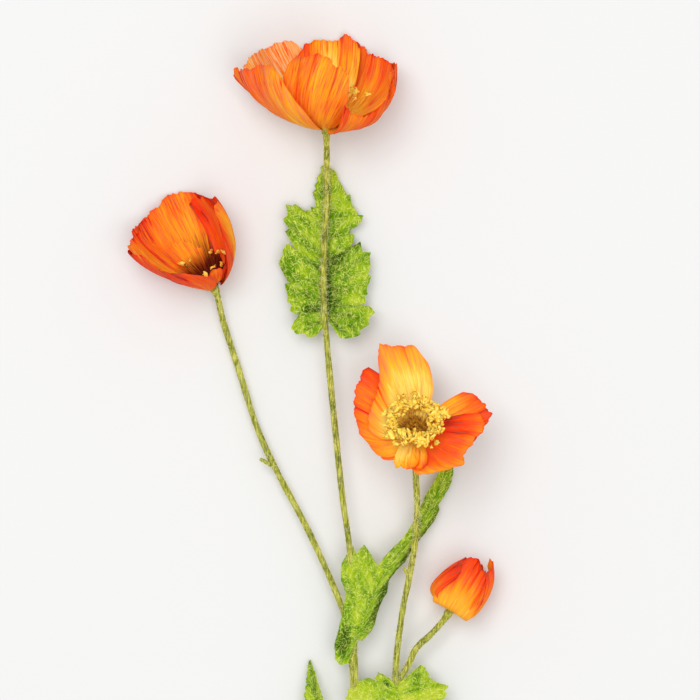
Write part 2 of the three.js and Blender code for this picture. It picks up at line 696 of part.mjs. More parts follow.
function leafGrid(leaf) {
  const rib = new THREE.CatmullRomCurve3(leaf.rib.map((point) => vec(...point)), false, "centripetal");
  const face = vec(...leaf.face).normalize();
  const edges = [leaf.left, leaf.right].map((edge) => (leaf.traced ? edge : toothed(edge)));
  const stations = edges[0].length - 1;
  const frameAt = (share) => {
    const inside = Math.min(Math.max(share, 0), 1);
    const forward = rib.getTangentAt(inside);
    const right = forward.clone().cross(face).normalize();
    const normal = right.clone().cross(forward);
    const point = rib.getPointAt(inside).addScaledVector(forward, (share - inside) * rib.getLength());
    return { point, right, normal };
  };
  const grid = [];
  for (let i = 0; i <= stations; i++) {
    const foot = frameAt((i / stations) ** RIB_EASE);
    const halves = edges.map((edge, side) => {
      const [share, distance] = edge[i];
      const { point, right, normal } = frameAt(share);
      const lift = radians(leaf.fold[side]);
      const rim = point
        .addScaledVector(right, (side === 0 ? -1 : 1) * distance * Math.cos(lift))
        .addScaledVector(normal, distance * Math.sin(lift));
      const rise = leaf.bulge[side] * Math.min(distance / 8, 1);
      const middle = foot.point.clone().lerp(rim, 0.5).addScaledVector(foot.normal, rise);
      return [middle, rim];
    });
    grid.push([halves[0][1], halves[0][0], foot.point, halves[1][0], halves[1][1]]);
  }
  return grid;
}

function leafSolid(leaf, margin) {
  return pressedShell(leafGrid(leaf), LEAF_THICKNESS + 2 * margin, LEAF_THICKNESS / 2 - PRESS_DEPTH);
}

// Assembly: each piece keeps clear of those already placed

const group = new THREE.Group();
const placed = [];

function place(name, material, solid, wide) {
  const box = solid.boundingBox();
  let kept = solid;
  for (const other of placed) {
    const apart = [0, 1, 2].some((k) => other.box.min[k] > box.max[k] || other.box.max[k] < box.min[k]);
    if (!apart) kept = kept.subtract(other.clearance);
  }
  kept = largestBody(kept);
  if (wide) {
    const clearance = wide.add(kept);
    placed.push({ clearance, box: clearance.boundingBox() });
  }
  group.add(meshOf(name, kept, material));
}

place("stem", MATERIALS.stem, stemSolid(0), stemSolid(GAP));
for (const flower of FLOWERS) {
  for (const petal of flower.petals) {
    const name = `${flower.name}_petal_${petal.name}`;
    place(name, MATERIALS.petal, petalSolid(flower, petal, 0), petalSolid(flower, petal, GAP));
  }
}
for (const [number, flower] of FLOWERS.entries()) {
  if (!flower.filament) continue;
  const random = randomStream(11 + number);
  place(`${flower.name}_centre`, MATERIALS.centre, centreSolid(flower, random), null);
  place(`${flower.name}_stamens`, MATERIALS.stamen, stamenSolid(flower, random), null);
}
for (const leaf of LEAVES) {
  place(leaf.name, MATERIALS.leaf, leafSolid(leaf, 0), leafSolid(leaf, GAP));
}

export default group;
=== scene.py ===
"""Builds the looks of a poppy spray lying on a table: creased petals, hairy stems, toothed leaves."""

import math

import bpy
import numpy as np
from bpy.props import FloatProperty, FloatVectorProperty, IntProperty, PointerProperty
from mathutils import Matrix, Vector


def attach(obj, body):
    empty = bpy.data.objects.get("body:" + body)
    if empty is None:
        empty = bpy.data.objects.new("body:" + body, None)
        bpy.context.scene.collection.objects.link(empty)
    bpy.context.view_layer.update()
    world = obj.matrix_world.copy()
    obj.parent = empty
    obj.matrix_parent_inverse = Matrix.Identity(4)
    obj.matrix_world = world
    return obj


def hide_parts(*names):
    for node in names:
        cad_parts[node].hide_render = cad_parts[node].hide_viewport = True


bl_info = {
    "name": "Poppy spray",
    "version": (1, 0, 0),
    "blender": (4, 5, 0),
    "location": "3D View > Sidebar > Poppy spray",
    "description": "Dresses a cut spray of poppies with petals, leaves, stems and stamens",
    "category": "Object",
}

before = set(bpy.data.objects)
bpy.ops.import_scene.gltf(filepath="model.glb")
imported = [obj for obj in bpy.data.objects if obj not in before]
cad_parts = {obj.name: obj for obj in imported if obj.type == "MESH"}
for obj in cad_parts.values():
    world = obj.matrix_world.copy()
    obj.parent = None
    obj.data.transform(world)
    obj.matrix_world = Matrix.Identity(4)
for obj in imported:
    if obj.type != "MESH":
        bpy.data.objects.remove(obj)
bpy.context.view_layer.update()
MM = 0.001
FULL_TURN = 6.283  # in radians
CURVE_STEPS = 40  # steps between two points of a curve when its length is measured
CREASE_ANGLE = 62  # degrees between two faces past which their edge is drawn sharp

# The plant, in millimetres and degrees

ROOT_RING = (4.0, 2.75)  # radius of the petals' roots in the outer and the inner whorl
ROOT_LIFT = (0.95, 2.35)  # and their height above the flower's base
ROOT_HALF_WIDTH = (3.2, 2.2)  # and half their width

# What a petal has where its own entry below doesn't say otherwise
PLAIN_PETAL = {
    "rim": (1, 1),  # its reach at even steps across it, as a share of its length
    "round": 0,  # how much of their reach its corners lose
    "spread": 0.85,  # how it widens from root to rim: under 1 it widens early
    "ruffle": 1.6,  # height of the waves in its rim
    "skew": 0,  # how far its folds slant, in half widths
    "folds": 1,  # height of its pleats and broad folds, as a share of the settings
    "gathered": 0,  # how far its creases are moved towards the rim, as a share of its length
    "bands": (0, 0),  # what is added to its tint at even steps across it
    "blush": 0.09,  # how much its tint wavers
    # Its pale is painted light, for light shining through it and for fine highlights.
    "pale": 0.1,  # how much light shines through it
    "lines": 1,  # how plain its thin dark lines are
    # Its dark root is painted shade, where the heart of the flower lies in shade.
    "root_shade": (0, 1),  # how dark its root is, and how far that reaches
}

# A flower stands on base and looks along axis, and filament is the length of its longest stamens.
# whorl is 0 for a petal of the outer ring and 1 for one of the inner ring, and layer is its place in
# the stack of petals where they lie on the table.
# angle runs round the flower's axis: 0 faces up, 90 is on the right, -90 on the left.
# lean holds the angles between petal and axis, evenly spaced from root to rim, or one such row each
# for the petal's left edge, middle and right edge.
# outside and inside hold the petal's tint from root to rim: 0 gold, 0.5 orange, 1 deep red.
# creases is the number of its narrow folds.
FLOWERS = {
    "top_flower": {
        "base": (7.3, 171.8, 18),
        "axis": (-0.03, 0.95, 0.3),
        "filament": 19,
        "stamens": 60,
        "petals": {
            "front": {
                "angle": -11, "whorl": 0, "length": 54, "width": 35, "lean": (68, 20, 4),
                "rim": (0.76, 0.87, 0.93, 0.97, 1, 1.02, 1.01, 1, 0.98, 0.96, 0.88, 0.87, 0.78), "skew": 1.1,
                "outside": (0, 0.28, 0.44, 0.48, 0.5, 0.56), "inside": (0.1, 0.2, 0.4, 0.6),
                "blush": 0.02, "creases": 9, "lines": 1.2,
            },
            "left": {
                "angle": -70, "whorl": 0, "length": 52, "width": 48,
                "lean": ((80, 56, 28), (80, 44, 8), (80, 36, -4)),
                "rim": (0.94, 1.02, 1.03, 1.01, 1.01, 1.02, 1.03, 1.05, 1.06, 1.07, 1.07, 0.98, 0.6),
                "outside": (0.08, 0.4, 0.52, 0.56, 0.6), "inside": (0.15, 0.4, 0.6, 0.64),
                "blush": 0.05, "bands": (0, 0, 0, 0, -0.06, -0.16), "pale": 0.22,
            },
            "right": {
                "angle": 67, "whorl": 0, "length": 50, "width": 67, "lean": (88, 72, 20, -6),
                "rim": (0.82, 0.7, 0.62, 0.76, 0.9, 0.98, 1, 1, 0.92),
                "outside": (0.3, 0.56, 0.62, 0.64, 0.7), "inside": (0.1, 0.3, 0.5, 0.6),
            },
            "back": {
                "angle": 176, "whorl": 1, "layer": 2, "length": 51, "width": 35, "lean": (72, 28, 4),
                "rim": (0.84, 0.92, 0.97, 1.01, 0.95, 0.93, 0.93, 0.94, 0.94, 0.93, 0.91, 0.81, 0.68),
                "outside": (0.2, 0.4, 0.5, 0.6), "inside": (0.05, 0.14, 0.22, 0.34, 0.5),
                "bands": (-0.06, -0.14, 0.14, -0.12, -0.28, -0.14, 0.08, 0.06, 0.12),
                "blush": 0.08, "lines": 1.2,
            },
            "back_left": {
                "angle": -126, "whorl": 0, "length": 53, "width": 56, "lean": (60, 44, 30),
                "rim": (0.83, 0.93, 0.96, 0.97, 0.97, 0.96, 0.95, 0.94, 0.93, 0.92, 0.9, 0.9, 0.9),
                "outside": (0.2, 0.4, 0.5, 0.6), "inside": (0.2, 0.34, 0.42, 0.48),
                "pale": 0.75, "lines": 0.8,
            },
            "back_right": {
                "angle": 111, "whorl": 1, "layer": 1, "length": 48, "width": 56,
                "lean": ((72, 60, 22), (68, 44, 14), (66, 36, 14)),
                "rim": (0.77, 0.83, 0.85, 0.86, 0.86, 0.88, 0.91, 0.92, 0.91, 0.9, 0.96, 0.98, 0.94),
                "outside": (0.2, 0.5, 0.6, 0.7), "inside": (0.05, 0.12, 0.36, 0.56, 0.66), "skew": 0.5,
            },
        },
    },
    "left_flower": {
        "base": (-49.2, 92.4, 10.5),
        "axis": (-0.36, 0.83, 0.43),
        "filament": 11,
        "stamens": 11,
        "petals": {
            "left": {
                "angle": -80, "whorl": 0, "length": 44.4, "width": 58, "round": 0.36,
                "lean": (50, 40, 12),
                "rim": (1, 1.02, 1, 0.96, 0.9),
                "outside": (0.5, 0.76, 0.84, 0.86), "inside": (0.3, 0.45, 0.6, 0.75), "lines": 0.5,
            },
            "right": {
                "angle": 100, "whorl": 0, "length": 50, "width": 44, "round": 0.36, "lean": (60, 10, -18),
                "rim": (0.9, 0.95, 1, 1, 1, 1, 0.98, 1.06, 1.32),
                "outside": (0.5, 0.5, 0.56, 0.7), "inside": (0.72, 0.76, 0.74, 0.74),
                "bands": (0.25, 0.3, -0.05, -0.35, -0.3, 0, 0.24, 0.3, 0.15, 0, -0.05, 0, 0), "creases": 4,
            },
            # The dark roots of the back petals are painted shade in the flower's heart.
            "back": {
                "angle": -171, "whorl": 1, "layer": 2, "length": 51, "width": 50, "lean": (66, 24, 8),
                "rim": (0.7, 0.82, 0.9, 0.96, 0.98, 0.99, 1, 0.96, 0.97, 0.94, 0.93, 0.92, 0.88),
                "outside": (0.3, 0.5, 0.6, 0.7), "inside": (0.5, 0.42, 0.4, 0.46, 0.58),
                "bands": (0.3, 0.12, -0.18, -0.16, 0.06, 0.32, 0.28), "blush": 0.12, "root_shade": (1, 0.6),
            },
            "back_left": {
                "angle": -126, "whorl": 1, "layer": 1, "length": 50, "width": 52, "lean": (54, 34, 10),
                "rim": (0.88, 0.91, 0.93, 0.94, 0.93, 0.94, 0.94, 0.94, 0.92, 0.91, 0.91, 0.92, 0.95),
                "outside": (0.3, 0.5, 0.6, 0.7), "inside": (0.5, 0.36, 0.46, 0.52),
                "bands": (0.05, 0.05, 0.1, 0.12, 0.05, -0.1, -0.2), "blush": 0.05, "root_shade": (0.95, 0.34),
            },
            "front": {
                "angle": 14, "whorl": 1, "length": 15, "width": 20, "round": 0.36, "ruffle": 0.6,
                "lean": (66, 40, 20),
                "outside": (0.5, 0.66, 0.75), "inside": (0.6, 0.7, 0.8),
            },
        },
    },
    "right_flower": {
        "base": (51.3, 19, 36),
        "axis": (0, 0.52, 0.85),
        "filament": 11.5,
        "stamens": 240,
        "petals": {
            "top": {
                "angle": -152, "whorl": 1, "length": 46, "width": 48,
                "lean": ((84, 72, 56), (80, 62, 44), (84, 76, 66)),
                "rim": (0.72, 0.88, 0.92, 0.94, 0.96, 0.98, 0.85, 0.62, 0.54, 0.49, 0.45, 0.42, 0.4),
                "outside": (0.1, 0.2, 0.4, 0.6), "inside": (0.1, 0, 0, 0.1, 0.36, 0.54),
                "creases": 5, "pale": 0.2, "blush": 0.06, "folds": 0.7, "lines": 0.6,
            },
            "left": {
                "angle": -112, "whorl": 0, "length": 40, "width": 50,
                "lean": ((86, 78, 70), (86, 74, 62), (88, 78, 66)),
                "rim": (0.94, 0.93, 0.9, 0.86, 0.83, 0.79, 0.73, 0.69, 0.63, 0.58, 0.48, 0.44, 0.4),
                "outside": (0.2, 0.4, 0.6, 0.7), "inside": (0.1, 0.16, 0.36, 0.54, 0.66),
                "creases": 2, "bands": (0.2, 0.15, 0.05, -0.05, -0.1, -0.15), "folds": 0.4, "lines": 0.3,
            },
            "right": {
                "angle": 103, "whorl": 0, "length": 38.5, "width": 28,
                "lean": ((86, 82, 78), (84, 72, 62), (84, 72, 62)),
                "rim": (0.66, 0.72, 0.78, 0.84, 0.88, 0.95, 0.92, 0.89, 0.86, 0.84, 0.82, 0.8, 0.72),
                "outside": (0.2, 0.4, 0.6, 0.7), "inside": (0.15, 0.22, 0.34, 0.5, 0.8),
                "creases": 3, "lines": 0.5,
            },
            "front_right": {
                "angle": 55, "whorl": 1, "length": 34, "width": 46,
                "lean": ((86, 76, 62), (86, 76, 62), (84, 68, 50)),
                "rim": (0.66, 0.75, 0.79, 0.83, 0.83, 0.86, 0.81, 0.82, 0.88, 0.86, 0.95, 0.98, 0.93),
                "outside": (0.2, 0.3, 0.6, 0.7), "inside": (0.62, 0.72, 0.74, 0.74, 0.62, 0.42),
                "creases": 2, "bands": (0, 0, 0, 0, 0.1, 0.2, 0.25), "folds": 0.5, "lines": 0.3,
            },
            "front": {
                "angle": -6, "whorl": 1, "length": 21, "width": 17, "lean": (78, 74, 74),
                "ruffle": 0.4,
                "rim": (0.96, 1.06, 1.06, 1.06, 1.07, 1.06, 1.05, 1.04, 1.04, 1.04, 1.05, 1, 0.9),
                "outside": (0.2, 0.3, 0.4), "inside": (0.1, 0.1, 0.12, 0.3, 0.62), "creases": 2,
                "blush": 0.03, "bands": (-0.4, -0.3, -0.15, 0.02, 0.16, 0.2), "lines": 0.5,
            },
        },
    },
    "bud": {
        "base": (69.3, -70, 12.2),
        "axis": (0.5, 0.86, 0.03),
        "filament": None,
        "petals": {
            "front": {
                "angle": 0, "whorl": 0, "length": 36, "width": 27, "round": 0.36, "spread": 0.4,
                "lean": ((104, 92, 24, -4, -8, -14, -22, -34, -46), (98, 70, 12, -2, -6, -12, -20, -32, -46),
                         (108, 92, 24, -4, -8, -14, -20, -26, -30)),
                "rim": (0.9, 0.94, 0.98, 1, 1, 0.98, 0.96, 0.97, 1),
                "outside": (0.3, 0.28, 0.36, 0.56, 0.78, 0.9), "inside": (0.3, 0.6),
                "creases": 13, "gathered": 0.25, "blush": 0.05, "lines": 0.2,
            },
            "left": {
                "angle": -92, "whorl": 1, "length": 35, "width": 28, "round": 0.36, "spread": 0.5,
                "lean": (100, 92, 60, -4, -13, -22, -28, -34, -38),
                "outside": (0.3, 0.36, 0.66, 0.76, 0.84), "inside": (0.3, 0.6), "creases": 5,
                "gathered": 0.2, "blush": 0.05, "lines": 0.2,
            },
            "right": {
                "angle": 85, "whorl": 1, "length": 40, "width": 26, "round": 0.36, "spread": 0.5,
                "lean": (106, 92, 16, 4, 0, -14, -26, -38, -40),
                "rim": (0.86, 0.88, 0.9, 1.08, 0.9, 0.84, 0.8),
                "outside": (0.3, 0.3, 0.44, 0.6, 0.76), "inside": (0.3, 0.6), "lines": 0.4,
            },
            "back": {
                "angle": 180, "whorl": 0, "length": 35, "width": 25, "round": 0.36,
                "lean": (98, 86, 34, 6, -4, -14, -24, -34, -44),
                "outside": (0.3, 0.3, 0.44, 0.62, 0.8), "inside": (0.3, 0.6),
            },
        },
    },
}

NODE_A = (20.2, -84, 13)  # where the stems of the top and the left flower part
NODE_B = (42.2, -107.5, 12)  # where the stems of the right flower and the bud part

# Each stem: its radius, the points that it passes, and the flower that it carries. The last two are stubs.
STEMS = (
    (2.2, ((22.3, -219.4, 2.2), (22.9, -190, 3.2), (22.8, -164, 5), (21.8, -114, 10.5), NODE_A), None),
    (1.55, (NODE_A, (19, -39, 14), (15.6, -14, 14), (10.3, 36, 13), (7.7, 63.5, 12), (6, 86, 9.5),
            (6.2, 111, 7.2), (7.4, 134, 7.2), (7.6, 152, 12)), "top_flower"),
    (1.55, (NODE_A, (15.8, -70, 12.4), (8.9, -53, 11.5), (-2.2, -29, 10), (-18.6, 2, 8),
            (-27.2, 21, 6.6), (-36.8, 51, 4.6), (-44.8, 76, 5.4)), "left_flower"),
    (1.8, ((22.8, -166, 5), (24.4, -161, 6), (33.3, -136.5, 9), (40.3, -114, 11.5), NODE_B), None),
    (1.55, (NODE_B, (42.4, -96, 12.5), (45.8, -69, 13), (48.8, -54, 13.2), (51.8, -36.5, 15),
            (53, -19, 17.5), (52.4, -6, 20.5), (51.7, 7, 26)), "right_flower"),
    (1.55, (NODE_B, (45, -103, 12.2), (48.5, -97.5, 12.4), (52.5, -89, 12.6), (60.3, -81.5, 12.6)),
     "bud"),
    (1.0, ((-18.6, 2, 8), (-22, 4, 8.8), (-26, 6.2, 9.5)), None),
    (1.0, ((49.3, -53.5, 13.2), (47.8, -51, 14.6), (46.3, -48.5, 16)), None),
)

# What a leaf has where its own entry below doesn't say otherwise
PLAIN_LEAF = {
    "saw": 1,  # height of its small teeth, as a share of the setting
    "tone": 0,  # how much paler all of it is
}

# rib is the midrib from foot to tip, face the way the leaf's upper side looks, fold the angle in degrees
# at which its left and its right half rise, and bulge how far they swell.
# folds are painted shade in hollows: (side, place along the edge, breadth, share of the way out, depth).
# An edge point is (share of the way along the rib, distance from it).
LEAVES = {
    "upper_leaf": {
        "rib": ((7.9, 76, 8.4), (7.6, 90, 5), (7, 122, 3.2), (6.8, 154.5, 1.8)),
        "face": (0, 0, 1), "fold": (9, 12), "bulge": (1.2, 1.8), "saw": 0.2,
        "folds": ((0, 0.5, 0.035, 0.5, -0.4), (0, 0.22, 0.025, 0.4, -0.45), (1, 0.56, 0.04, 0.25, -0.45),
                  (1, 0.58, 0.035, 0.7, -0.4), (1, 0.36, 0.2, -0.05, -0.55), (0, 0.1, 0.04, 0.5, -0.3),
                  (1, 0.12, 0.035, 0.5, -0.3), (0, 0.25, 0.2, -0.1, -0.3)),
        "left": (
            (-0.03, 2.7), (-0.071, 3.8), (-0.108, 6.3), (-0.118, 10.3), (-0.091, 11.5), (-0.096, 15.9),
            (-0.056, 18.7), (-0.006, 16.6), (0.035, 14.2), (0.039, 16.8), (0.058, 19), (0.1, 18),
            (0.116, 20.2), (0.165, 20.1), (0.205, 21), (0.242, 21.3), (0.246, 18.7), (0.266, 20.3),
            (0.327, 22.7), (0.376, 24.5), (0.425, 22.2), (0.466, 21.9), (0.497, 19.6), (0.465, 16.4),
            (0.42, 13.6), (0.522, 18.3), (0.574, 20.7), (0.591, 18.5), (0.648, 21.9), (0.676, 19.4),
            (0.745, 20.3), (0.734, 16.8), (0.749, 15.6), (0.705, 11.7), (0.689, 10.5), (0.711, 9.5),
            (0.693, 7.4), (0.731, 7.5), (0.717, 5), (0.774, 5.2), (0.826, 6.6), (0.839, 4.8),
            (0.866, 5.5), (0.888, 4), (0.92, 4.3), (0.949, 2.1), (0.982, 2.4), (1, 0.6),
        ),
        "right": (
            (-0.006, 1.7), (-0.03, 2.6), (-0.079, 4.2), (-0.12, 6.1), (-0.129, 9), (-0.124, 12.8),
            (-0.111, 17), (-0.087, 16), (-0.05, 21.4), (-0.014, 21.1), (0.027, 24.5), (0.069, 21.9),
            (0.08, 16.1), (0.094, 20.1), (0.14, 19.7), (0.157, 20.9), (0.197, 20.5), (0.23, 21.8),
            (0.275, 23), (0.29, 21.3), (0.343, 22.9), (0.392, 22.4), (0.433, 23), (0.433, 18.9),
            (0.502, 17.8), (0.478, 15.4), (0.437, 11.6), (0.498, 13.9), (0.548, 14.9), (0.551, 12),
            (0.587, 13.1), (0.596, 15.6), (0.628, 18.2), (0.669, 19.5), (0.673, 16.6), (0.693, 16.3),
            (0.734, 13.8), (0.758, 13.1), (0.805, 12.9), (0.803, 11), (0.855, 9), (0.896, 6.8),
            (0.952, 5.3), (1, 0.6),
        ),
    },
    "middle_leaf": {
        "rib": ((22.8, -84.5, 16.4), (25.2, -75, 17.6), (31.8, -59, 17.2), (40.8, -45, 14.5),
                (50.2, -34, 10.6), (58.2, -20, 9), (64.2, -8, 8), (69.8, 6, 6.5)),
        "face": (-0.15, 0.1, 1), "fold": (4, -42), "bulge": (0.8, 1), "saw": 0.15, "tone": 0.04,
        "folds": ((0, 0.1, 0.1, 0.6, -0.6), (1, 0.3, 0.14, 0.9, -0.8), (1, 0.55, 0.3, 1, -0.7)),
        "left": (
            (-0.07, 1.6), (-0.12, 1.2), (-0.14, 4.9), (-0.12, 8.1), (-0.05, 10.6), (0.02, 10.3),
            (0.1, 10.3), (0.19, 12.2), (0.23, 17.2), (0.29, 21), (0.38, 21.2), (0.35, 17.4),
            (0.41, 16.7), (0.39, 11), (0.34, 4.9), (0.43, 4.6), (0.54, 3.8), (0.65, 3.6),
            (0.79, 4.5), (0.93, 2.9), (1, 0.6),
        ),
        "right": (
            (0, 3), (0.03, 5.6), (0.06, 7.4), (0.1, 7.8), (0.15, 6.9), (0.21, 6.7), (0.28, 7.3),
            (0.34, 4.5), (0.4, 4.8), (0.47, 5.9), (0.52, 4.5), (0.59, 4.2), (0.65, 5.3),
            (0.7, 6.4), (0.76, 5.9), (0.78, 3.8), (0.82, 4.8), (0.89, 5.7), (0.94, 4.6),
            (0.98, 2.8), (1, 0.6),
        ),
    },
    "lower_leaf": {
        "rib": ((42.8, -107.5, 15.2), (43.4, -124, 17.4), (44, -150, 12.5), (45, -189.5, 3)),
        "face": (0, 0, 1), "fold": (-4, -8), "bulge": (1.6, 1.6), "tone": 0.2,
        "folds": ((0, 0.12, 0.06, 0.7, -0.4), (1, 0.1, 0.05, 0.5, -0.4), (0, 0.45, 0.06, 0.5, -0.3)),
        "left": (
            (-0.02, 1.5), (-0.06, 6.5), (-0.1, 10.5), (-0.12, 13), (-0.08, 15.5), (-0.04, 16.5),
            (-0.01, 20.5), (0.01, 26), (0.04, 24), (0.07, 25), (0.1, 21), (0.16, 15), (0.2, 20),
            (0.3, 24.5), (0.4, 25), (0.46, 21), (0.42, 12.5), (0.56, 18.5), (0.68, 19),
            (0.82, 11.5), (1, 0.6),
        ),
        "right": (
            (-0.01, 2), (-0.05, 4.5), (-0.085, 9), (-0.06, 10.5), (0.01, 10.5), (-0.03, 11.5),
            (-0.055, 14.5), (-0.04, 18.5), (-0.02, 21.5), (0.01, 24.5), (0.065, 26), (0.12, 20),
            (0.15, 14), (0.24, 21), (0.34, 25), (0.44, 22), (0.4, 12), (0.55, 19), (0.68, 18),
            (0.82, 11), (1, 0.6),
        ),
    },
    "side_leaf": {
        "rib": ((22.4, -180, 5.5), (15.5, -162, 9.5), (6, -130, 10.5), (-1, -95.5, 3)),
        "face": (-0.45, -0.1, 0.86), "fold": (38, 38), "bulge": (0.6, 0.6),
        "folds": ((0, 0.2, 0.06, 0.5, -0.3), (1, 0.4, 0.08, 0.5, -0.3)),
        "left": (
            (0, 1.5), (-0.03, 5), (-0.02, 9), (0.02, 11.5), (0.06, 12.5), (0.1, 9), (0.12, 6),
            (0.17, 9.5), (0.24, 12.5), (0.31, 13.5), (0.37, 12), (0.39, 8.5), (0.37, 5.5),
            (0.44, 9), (0.52, 11), (0.6, 10.5), (0.68, 9), (0.76, 7), (0.84, 5), (0.92, 3),
            (1, 0.6),
        ),
        "right": (
            (0, 1.5), (-0.03, 5), (-0.02, 9), (0.03, 12), (0.08, 13), (0.12, 10), (0.14, 6.5),
            (0.19, 10), (0.26, 13), (0.33, 14), (0.39, 12), (0.41, 8.5), (0.39, 5.5), (0.46, 9),
            (0.54, 11.5), (0.62, 10.5), (0.7, 9), (0.78, 7), (0.86, 5), (0.93, 3), (1, 0.6),
        ),
    },
}


# Sizes and colours that a user would change

def linear(code):
    """The linear colour of an sRGB hex code."""
    values = [int(code[i:i + 2], 16) / 255 for i in (1, 3, 5)]
    return [v / 12.92 if v <= 0.04045 else ((v + 0.055) / 1.055) ** 2.4 for v in values] + [1.0]


def length_of(name, description, millimetres):
    return FloatProperty(name=name, description=description, default=millimetres * MM,
                         min=0, subtype="DISTANCE", unit="LENGTH")


def colour_of(name, description, code):
    return FloatVectorProperty(name=name, description=description, default=linear(code),
                               size=4, min=0, max=1, subtype="COLOR")


class PetalSettings(bpy.types.PropertyGroup):
    """Sizes and colours of the petals."""

    thickness: length_of("Thickness", "Thickness of a petal", 0.3)
    columns: IntProperty(name="Columns", description="Faces across a petal", default=96, min=8)
    rows: IntProperty(name="Rows", description="Faces from a petal's root to its rim", default=48, min=8)
    pleat: length_of("Pleat", "Height of the fine pleats that run from root to rim", 0.28)
    pleat_spacing: length_of("Pleat spacing", "Distance between the fine pleats at the rim", 1.7)
    fold: length_of("Fold", "Height of the broad folds near the rim", 0.9)
    fold_spacing: length_of("Fold spacing", "Distance between the broad folds", 6.5)
    crease: length_of("Crease", "Depth of the narrow creases", 0.42)
    tatter: length_of("Tatter", "How far the torn rim goes in and out", 0.9)
    straw: colour_of("Straw", "Colour of a petal's palest part", "#FFDA62")
    gold: colour_of("Gold", "Colour at a petal's root", "#FFB626")
    orange: colour_of("Orange", "Colour of a petal's middle", "#FB8414")
    red: colour_of("Red", "Colour of a petal's rim", "#F64A0C")
    # Scarlet and deep red are also reached where creases, hollows and rims are painted darker, as painted
    # shade.
    scarlet: colour_of("Scarlet", "Colour of the folds", "#F02202")
    deep_red: colour_of("Deep red", "Colour in the deepest folds", "#B81200")
    # Colour of the painted light where light would shine through a petal, and of fine painted highlights.
    pale: colour_of("Pale", "Colour of a petal that light shines through", "#FFDC9C")
    # Colour of the painted shade at the roots of petals that lie deep in a flower's heart.
    root_shade: colour_of("Stain", "Dark stain at the root of some petals", "#561006")


class LeafSettings(bpy.types.PropertyGroup):
    """Sizes and colours of the leaves."""

    thickness: length_of("Thickness", "Thickness of a leaf", 0.35)
    tooth: length_of("Tooth", "Height of the small teeth on the edge", 1.1)
    tooth_spacing: length_of("Tooth spacing", "Distance between the small teeth", 3.4)
    vein: length_of("Vein", "Depth of the side veins", 0.4)
    blister: length_of("Blister", "Height of the swellings between the veins", 0.5)
    # The light green is also painted light on the raised parts, and the dark green painted shade in the
    # hollows and folds.
    light: colour_of("Light green", "Colour of the raised parts", "#92B010")
    green: colour_of("Green", "Colour of the flat parts", "#5E8C06")
    dark: colour_of("Dark green", "Colour of the hollows", "#2A5200")
    faded: colour_of("Faded green", "Colour of the palest parts", "#BEC43C")
    fibre: colour_of("Fibre", "Colour of the pale fibres", "#DCE268")
    hair: colour_of("Hair", "Colour of the hairs", "#E2E88C")
    hair_density: FloatProperty(name="Hair density", description="Hairs on a square metre of leaf",
                                default=400000, min=0)
    hair_length: length_of("Hair length", "Length of the longest hairs", 3.6)
    hair_radius: length_of("Hair radius", "Radius of a hair at its root", 0.09)


class StemSettings(bpy.types.PropertyGroup):
    """Sizes and colours of the stems."""

    sides: IntProperty(name="Sides", description="Faces round a stem", default=16, min=6)
    step: length_of("Step", "Distance between two rings of a stem", 1.6)
    roughness: length_of("Unevenness", "Depth of the unevenness of a stem's skin", 0.16)
    light: colour_of("Light", "Colour of the ridges", "#CECA5C")
    olive: colour_of("Olive", "Colour of the skin", "#999C26")
    dark: colour_of("Dark", "Colour of the hollows", "#626A0E")
    hair: colour_of("Hair", "Colour of the hairs", "#EDEBB8")
    hair_density: FloatProperty(name="Hair density", description="Hairs on a square metre of stem",
                                default=700000, min=0)
    hair_length: length_of("Hair length", "Length of the longest hairs", 2.6)
    hair_radius: length_of("Hair radius", "Radius of a hair at its root", 0.1)


class StamenSettings(bpy.types.PropertyGroup):
    """Sizes and colours of the stamens and of the flowers' middles."""

    filament_radius: length_of("Filament radius", "Radius of a stamen's stalk", 0.22)
    anther_length: length_of("Anther length", "Length of the pollen sac on a stamen", 3.5)
    ring_radius: length_of("Ring radius", "Radius of the ring that the stamens grow from", 6.8)
    ring_height: length_of("Ring height", "Height of that ring above the flower's base", 5.6)
    scatter: length_of("Scatter", "How far a stamen's root may lie from the ring", 1.6)
    centre_radius: length_of("Centre radius", "Radius of the bristly middle", 5.6)
    centre_height: length_of("Centre height", "Height of the bristly middle", 3.8)
    bristle_length: length_of("Bristle length", "Length of the bristles on the middle", 3.2)
    bristle_radius: length_of("Bristle radius", "Radius of a bristle at its root", 0.16)
    bristle_density: FloatProperty(name="Bristle density", description="Bristles on a square metre of middle",
                                   default=5e6, min=0)
    yellow: colour_of("Yellow", "Light colour of the pollen sacs", "#FFE96C")
    ochre: colour_of("Ochre", "Dark colour of the pollen sacs", "#FFC42A")
    amber: colour_of("Amber", "Colour of the stalks", "#F0A52A")
    brown: colour_of("Brown", "Dark colour of a gold middle", "#8A4A0A")
    gold: colour_of("Gold", "Light colour of a gold middle", "#F0B432")
    # A dark middle is a middle in painted shade.
    maroon: colour_of("Maroon", "Dark colour of a dark middle", "#2C0403")
    rust: colour_of("Rust", "Light colour of a dark middle", "#8E2408")


class StageSettings(bpy.types.PropertyGroup):
    """Floor, light and camera."""

    distance: length_of("Camera height", "Height of the camera above the table", 2500)
    lens: FloatProperty(name="Lens", description="Focal length in millimetres", default=254.57, min=1)
    centre_x: FloatProperty(name="Centre X", description="Where the camera looks", default=0.01925,
                            subtype="DISTANCE", unit="LENGTH")
    centre_y: FloatProperty(name="Centre Y", description="Where the camera looks", default=0.061,
                            subtype="DISTANCE", unit="LENGTH")
    floor: colour_of("Floor", "Colour of the table", "#E1E1E0")
    sky: FloatProperty(name="Sky", description="Strength of the light from all round", default=0.62, min=0)
    key: FloatProperty(name="Key", description="Power of the main light in watts", default=34, min=0)


# Shared helpers

